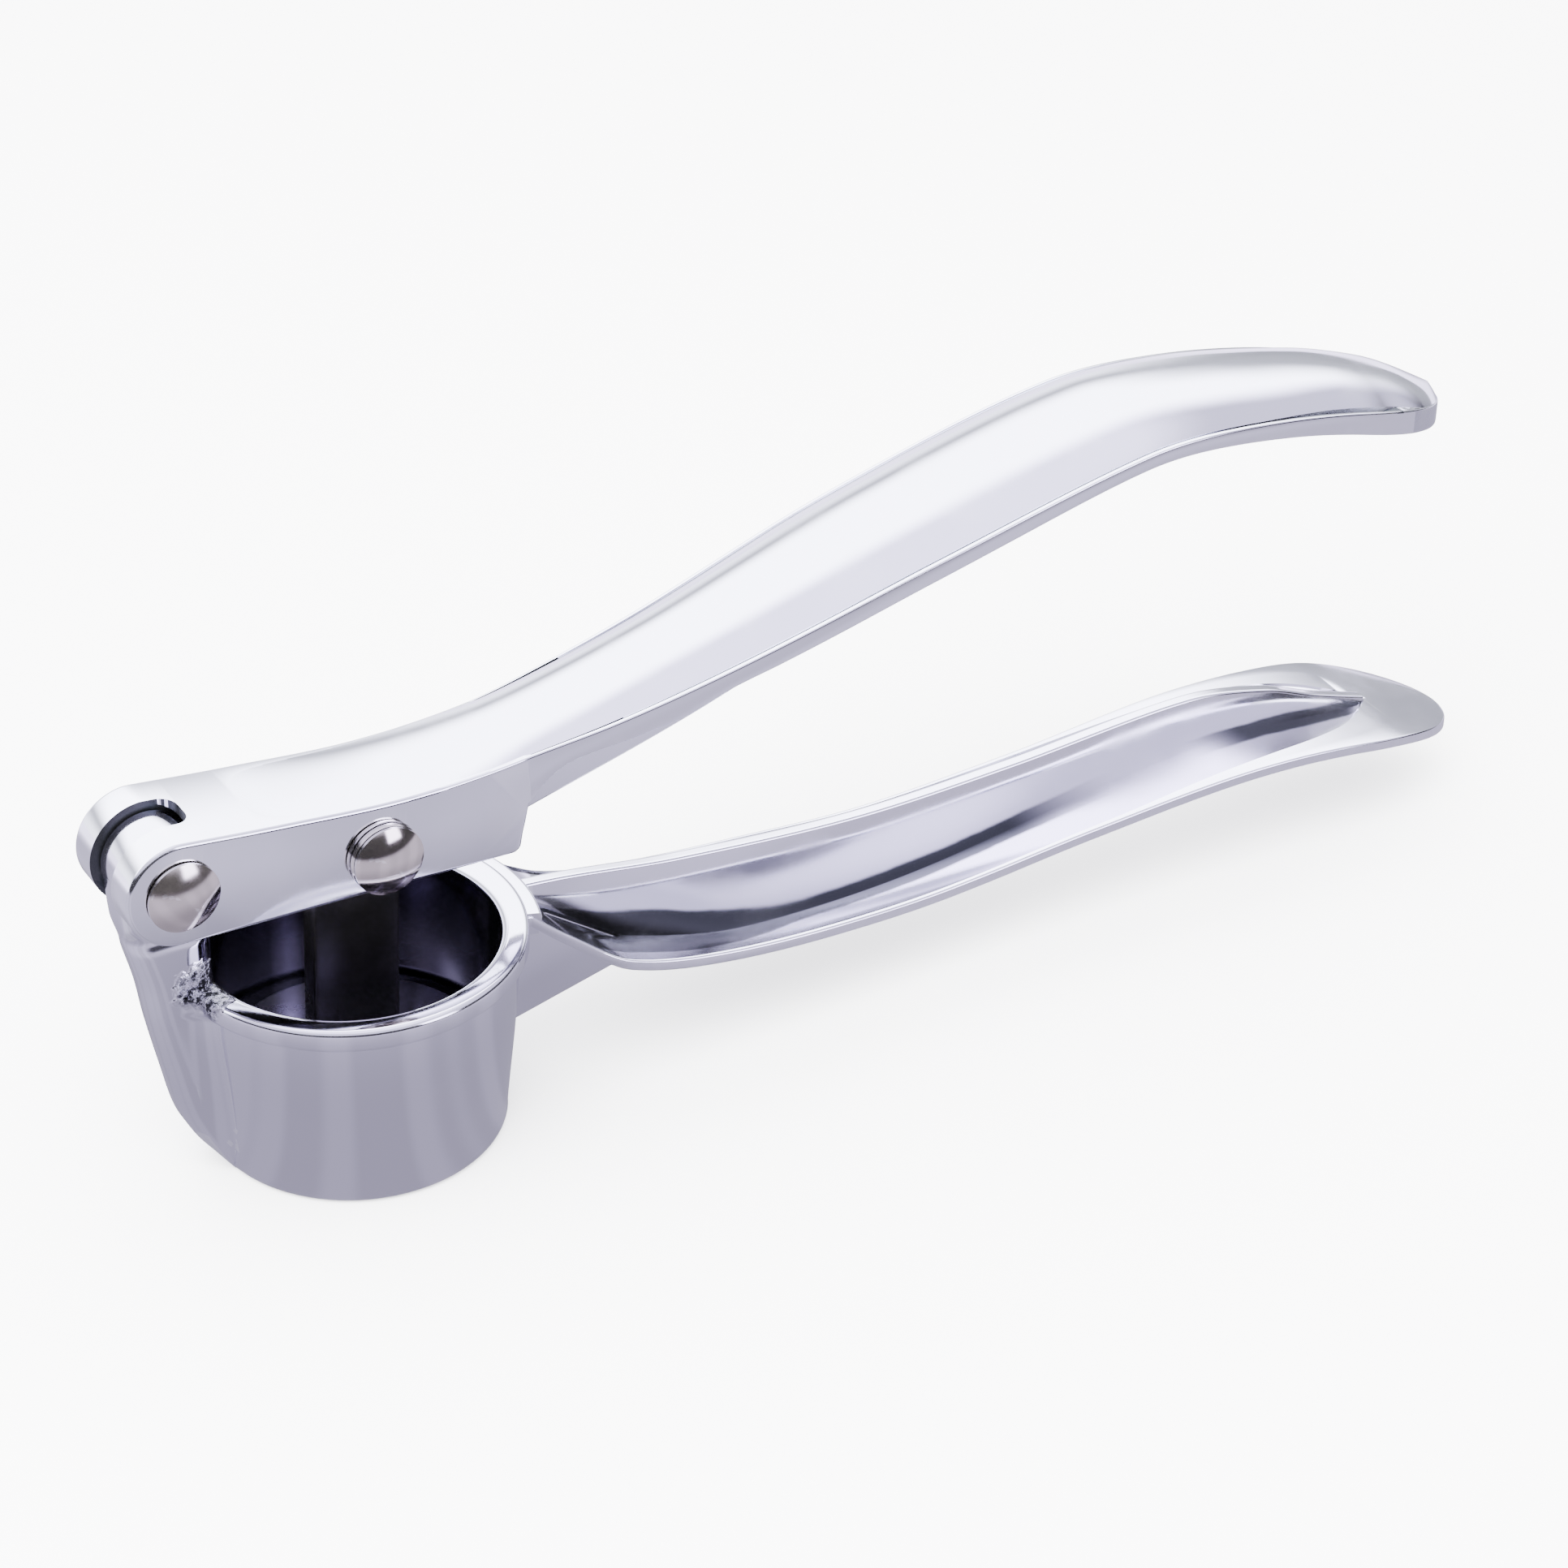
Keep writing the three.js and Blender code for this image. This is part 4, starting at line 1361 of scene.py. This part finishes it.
def sieve_holes_tree() -> GeometryTree:
    """Builds the pins that punch a disc's holes, on a triangular grid clear of edge and middle.

    Returns:
        A tree with inputs Field Radius, Pitch, Hole Radius and Depth, in metres.
    """
    tree = GeometryTree("sieve_holes", {
        "Field Radius": 13.5 * MM, "Pitch": 2.9 * MM, "Hole Radius": 0.85 * MM, "Depth": 6 * MM,
    })
    w, given = tree.wiring, tree.given
    grid = w.node("GeometryNodeMeshGrid")
    span = w.math("MULTIPLY", given["Pitch"], 14.0)
    deep = w.math("MULTIPLY", span, math.sqrt(0.75))
    w.feed(grid, Size_X=span, Size_Y=deep, Vertices_X=15, Vertices_Y=15)
    split = w.feed(w.node("ShaderNodeSeparateXYZ"), Vector=w.node("GeometryNodeInputPosition").outputs[0])
    row_pitch = w.math("MULTIPLY", given["Pitch"], math.sqrt(0.75))
    row = w.math("ROUND", w.math("DIVIDE", split.outputs["Y"], row_pitch))
    odd = w.math("ABSOLUTE", w.math("MODULO", row, 2.0))
    half_pitch = w.math("MULTIPLY", w.math("MULTIPLY", odd, given["Pitch"]), 0.5)
    shift = w.feed(w.node("ShaderNodeCombineXYZ"), X=half_pitch)
    staggered = w.feed(w.node("GeometryNodeSetPosition"), Geometry=grid.outputs[0], Offset=shift.outputs[0])
    spot = w.node("GeometryNodeInputPosition").outputs[0]
    length = w.feed(w.node("ShaderNodeVectorMath", operation="LENGTH"), i0=spot).outputs["Value"]
    outside = w.math("GREATER_THAN", length, given["Field Radius"])
    middle = w.math("LESS_THAN", length, w.math("MULTIPLY", given["Pitch"], 0.5))
    kept = w.node("GeometryNodeDeleteGeometry", domain="POINT")
    w.feed(kept, Geometry=staggered.outputs[0], Selection=w.math("MAXIMUM", outside, middle))
    pin = w.node("GeometryNodeMeshCylinder")
    w.feed(pin, Vertices=24, Radius=given["Hole Radius"], Depth=given["Depth"])
    pins = w.feed(w.node("GeometryNodeInstanceOnPoints"), Points=kept.outputs[0], Instance=pin.outputs[0])
    tree.end(pins.outputs[0])
    return tree


# ---- Perforated disc and rivets ----


@dataclass
class PerforatedDisc:
    """The removable disc in the foot of the cup."""

    radius: float = 16.2
    plug_radius: float = 14.9
    top: float = 1.9
    flange: float = 1.0

    def build(self, materials: Materials) -> Piece:
        """Builds, punches and dresses the disc.

        Args:
            materials: the press's materials by name.

        Returns:
            The finished disc.
        """
        profile = [(0, 0)] + arc(self.plug_radius - 0.2, 0.2, 0.2, -90, 0, 4)
        profile += [(self.plug_radius, self.top - self.flange), (self.radius, self.top - self.flange)]
        profile += arc(self.radius - 0.2, self.top - 0.2, 0.2, 0, 90, 4) + [(0, self.top)]
        disc = turned("perforated_disc_plate", profile)
        combine(disc, sieve_holes_tree().made("sieve_pins", materials["stainless"]), Cut.REMOVE)
        polish(disc)
        paint(disc, [materials["stainless"]])
        place(disc, Body.BASE, "stainless", "perforated_disc")
        return disc


@dataclass
class Rivets:
    """The two cap rivets, each in two halves, and the washers under the caps of one."""

    hinge: Spot
    pivot: Spot
    head_width: float = 14.0
    sleeve_radius: float = 2.4
    post_radius: float = 1.4
    fit: float = 0.06
    hinge_stand: float = 0.25
    pivot_stand: float = 1.05
    washer_radius: float = 4.15
    washer_bore: float = 2.46
    washer_gap: float = 0.15
    washer_thickness: float = 0.6

    def stand(self, piece: Piece, spot: Spot, side: Side) -> None:
        """Turns a piece made about Z to stand out from one side of the press.

        Args:
            piece: the object to turn.
            spot: the X and Z of its axis.
            side: the side it stands out from.
        """
        turn = Matrix.Rotation(-side.value * math.pi / 2, 4, "X")
        shift = Matrix.Translation((spot[0] * MM, 0, spot[1] * MM))
        piece.data.transform(shift @ turn)

    def build(self, materials: Materials) -> None:
        """Builds and dresses the rivets and washers.

        Args:
            materials: the press's materials by name.
        """
        tree = cap_rivet_tree()
        half = self.head_width / 2
        places = (("hinge", self.hinge, self.hinge_stand), ("plunger", self.pivot, self.pivot_stand))
        for name, spot, stand in places:
            sleeve_length = 2 * half + stand - 0.4
            for part, side, collar, shank in (
                ("sleeve", Side.RIGHT, sleeve_length, sleeve_length - 0.2),
                ("post", Side.LEFT, stand + 0.1, 2 * half + stand - 1.2),
            ):
                rivet = tree.made(
                    f"{name}_rivet_{part}_cap", materials["nickel"], Collar_Radius=self.sleeve_radius * MM,
                    Collar_Length=collar * MM, Shank_Radius=self.post_radius * MM, Shank_Length=shank * MM,
                )
                rivet.data.transform(Matrix.Translation((0, 0, (half + stand) * MM)))
                if part == "sleeve":
                    hollow = self.post_radius + self.fit
                    low, high = -half - 1, half + stand - 1
                    outline = [(0, low), (hollow, low), (hollow, high), (0, high)]
                    combine(rivet, turned("sleeve_hollow", outline, 64), Cut.REMOVE)
                self.stand(rivet, spot, side)
                polish(rivet, 40)
                paint(rivet, [materials["nickel"]])
                place(rivet, Body.LEVER, "nickel", f"{name}_rivet_{part}")
        for side in Side:
            foot = self.head_width / 2 + self.washer_gap
            top = foot + self.washer_thickness
            rim = self.washer_radius
            profile = [(self.washer_bore, foot), (rim - 0.1, foot), (rim, foot + 0.1)]
            profile += [(rim, top - 0.15), (rim - 0.15, top), (self.washer_bore, top)]
            ring = turned(f"washer_{side.name.lower()}_ring", profile, 96)
            self.stand(ring, self.pivot, side)
            polish(ring)
            paint(ring, [materials["nickel"]])
            place(ring, Body.LEVER, "nickel", f"washer_{side.name.lower()}")


# ---- Studio ----


@dataclass
class Studio:
    """The floor, the soft lights and the camera."""

    azimuth: float = 31.82
    elevation: float = 32.47
    roll: float = 0.96
    distance: float = 449.55
    aim: Spot = (48.23, 15.91)
    lens: float = 93.17
    rim_height: float = 25.4
    floor_size: float = 3.0
    panel_bearing: Spot3 = (0.46, -0.888, 0.0)
    panel_level: float = 8.0
    room_level: float = 9.0

    def camera(self) -> None:
        """Places the camera."""
        a, e, c = (math.radians(v) for v in (self.azimuth, self.elevation, self.roll))
        forward = Vector((math.sin(a) * math.cos(e), math.cos(a) * math.cos(e), -math.sin(e)))
        level = Vector((math.cos(a), -math.sin(a), 0))
        upward = level.cross(forward)
        right = math.cos(c) * level + math.sin(c) * upward
        up = -math.sin(c) * level + math.cos(c) * upward
        spot = self.aim[0] * right + self.aim[1] * up - self.distance * forward
        spot += Vector((0, 0, self.rim_height))
        data = bpy.data.cameras.new("camera")
        data.lens = self.lens
        data.sensor_width = 36
        data.clip_start = 0.01
        camera = bpy.data.objects.new("camera", data)
        turn = Matrix((right, up, -forward)).transposed().to_4x4()
        camera.matrix_world = Matrix.Translation(spot * MM) @ turn
        bpy.context.scene.collection.objects.link(camera)
        bpy.context.scene.camera = camera

    def floor(self) -> None:
        """Lays a pale floor that, for glossy rays only, glows as a painted surround for the metal to reflect:
        dark in front, dim near the press and bright behind.
        """
        mesh = bpy.data.meshes.new("floor")
        size = self.floor_size
        corners = [(-size, -size, 0), (size, -size, 0), (size, size, 0), (-size, size, 0)]
        mesh.from_pydata(corners, [], [(0, 1, 2, 3)])
        floor = bpy.data.objects.new("floor", mesh)
        bpy.context.scene.collection.objects.link(floor)
        material = bpy.data.materials.new("floor_paper_and_glow")
        material.use_nodes = True
        w = Wiring(material.node_tree)
        surface = material.node_tree.nodes["Principled BSDF"]
        w.feed(surface, Base_Color=(0.93, 0.93, 0.94, 1), Roughness=0.9)
        split = w.feed(w.node("ShaderNodeSeparateXYZ"), Vector=w.place())
        angle = w.math("ARCTAN2", split.outputs["Y"], split.outputs["X"])
        around = w.feed(w.node("ShaderNodeCombineXYZ"), X=w.math("COSINE", angle), Y=w.math("SINE", angle))
        panel = w.remap(w.noise(around.outputs[0], 2.2, 0.0), 0.44, 0.56, 0.9, 1.08)
        away = w.feed(w.node("ShaderNodeVectorMath", operation="LENGTH"), i0=w.place()).outputs["Value"]
        near = w.remap(away, 0.03, 0.08, 0.54, 0.98)
        front = w.remap(split.outputs["Y"], -0.2, -0.115, 0.06, 1.0)
        behind = w.remap(split.outputs["Y"], 0.1, 0.25, 1.0, 3.5)
        shade = w.math("MULTIPLY", w.math("MULTIPLY", panel, near), w.math("MULTIPLY", front, behind))
        tint = w.node("ShaderNodeVectorMath", operation="SCALE")
        w.feed(tint, i0=(0.98, 0.92, 1.24))
        w.feed(tint, Scale=shade)
        # painted reflection: the floor glows for glossy rays with these panels and shades
        glow = w.feed(w.node("ShaderNodeEmission"), Color=tint.outputs[0], Strength=1.0)
        path = w.node("ShaderNodeLightPath")
        mix = w.node("ShaderNodeMixShader")
        w.feed(mix, i0=path.outputs["Is Glossy Ray"], i1=surface.outputs[0], i2=glow.outputs[0])
        w.feed(material.node_tree.nodes["Material Output"], Surface=mix.outputs[0])
        mesh.materials.append(material)

    def light(self, name: str, spot: Spot3, size: float, power: float) -> None:
        """Hangs a square soft light at a spot in metres, facing the press.

        Args:
            name: the light's name.
            spot: where it hangs.
            size: the length of its edges, in metres.
            power: its power, in watts.
        """
        data = bpy.data.lights.new(name, "AREA")
        data.size = size
        data.energy = power
        lamp = bpy.data.objects.new(name, data)
        lamp.visible_glossy = False
        lamp.location = spot
        lamp.rotation_euler = (Vector((0.05, 0, 0.03)) - Vector(spot)).to_track_quat("-Z", "Y").to_euler()
        bpy.context.scene.collection.objects.link(lamp)

    def mixed(self, w: Wiring, a: object, b: object, share: object) -> Socket:
        """Mixes two values by a share.

        Args:
            w: the tree's wiring.
            a: the value at share 0.
            b: the value at share 1.
            share: the share of b.

        Returns:
            The result's socket.
        """
        return w.feed(w.node("ShaderNodeMix", data_type="FLOAT"), i0=share, i2=a, i3=b).outputs[0]

    def world(self) -> None:
        """Surrounds the press with an even white room, dimmer towards its walls in reflections."""
        world = bpy.data.worlds.new("studio")
        bpy.context.scene.world = world
        world.use_nodes = True
        w = Wiring(world.node_tree)
        back = world.node_tree.nodes["Background"]
        facing = w.node("ShaderNodeTexCoord").outputs["Generated"]
        split = w.feed(w.node("ShaderNodeSeparateXYZ"), Vector=facing)
        height, across = split.outputs["Z"], split.outputs["Y"]
        front = w.remap(across, 0.12, 0.42, 1.0, 0.0)
        low = w.remap(height, 0.05, 0.3, 0.0, 1.0)
        zenith = w.remap(height, 0.75, 0.95, 0.0, 1.8)
        ceiling = w.math("ADD", w.remap(height, 0.28, 0.5, 0.05, 1.4), zenith)
        sky = self.mixed(w, w.remap(height, 0.25, 0.55, 1.0, 9.0), ceiling, front)
        corner = w.remap(split.outputs["X"], 0.5, 0.66, 3.5, 0.72)
        room = self.mixed(w, self.mixed(w, corner, 0.05, front), sky, low)
        level = w.feed(w.node("ShaderNodeVectorMath", operation="MULTIPLY"), i0=facing, i1=(1, 1, 0))
        bearing = w.feed(w.node("ShaderNodeVectorMath", operation="NORMALIZE"), i0=level.outputs[0])
        aimed = w.node("ShaderNodeVectorMath", operation="DOT_PRODUCT")
        w.feed(aimed, i0=bearing.outputs[0], i1=self.panel_bearing)
        panel = w.remap(aimed.outputs["Value"], 0.975, 0.99, 0.0, 1.0)
        panel = w.math("MULTIPLY", panel, w.remap(height, 0.04, 0.12, 0.0, 1.0))
        panel = w.math("MULTIPLY", panel, w.remap(height, 0.45, 0.6, 1.0, 0.0))
        tint = w.node("ShaderNodeMix", data_type="RGBA")
        w.feed(tint, i0=front, i6=(0.95, 0.97, 1.13, 1), i7=(0.98, 0.94, 1.3, 1))
        w.feed(back, Color=tint.outputs[2], Strength=self.mixed(w, room, self.panel_level, panel))
        plain = w.feed(w.node("ShaderNodeBackground"), Color=(1, 1, 1, 1), Strength=self.room_level)
        mix = w.node("ShaderNodeMixShader")
        path = w.node("ShaderNodeLightPath")
        w.feed(mix, i0=path.outputs["Is Glossy Ray"], i1=plain.outputs[0], i2=back.outputs[0])
        w.feed(world.node_tree.nodes["World Output"], Surface=mix.outputs[0])

    def build(self) -> None:
        """Sets up the whole studio."""
        self.camera()
        self.floor()
        self.world()
        self.light("key", (-0.35, -0.25, 0.75), 0.6, 25.0)


def main() -> None:
    """Builds the press and its studio in order."""
    logging.basicConfig(level=logging.INFO, format="%(name)s: %(message)s")
    makers = (polish_marks_group, edge_wear_group, casting_flash_group)
    groups = {group.name: group for group in (make() for make in makers)}
    materials = {name: finish.material(groups) for name, finish in FINISHES.items()}
    hinge, pivot = joint_place("lever_hinge"), joint_place("plunger_swing")
    Studio().build()
    LowerCasting(hinge).build(materials)
    PerforatedDisc().build(materials)
    UpperLever(hinge, pivot).build(materials)
    Plunger(pivot).build(materials)
    Rivets(hinge, pivot).build(materials)
    LOG.info("the press is complete")


if __name__ == "__main__":
    main()
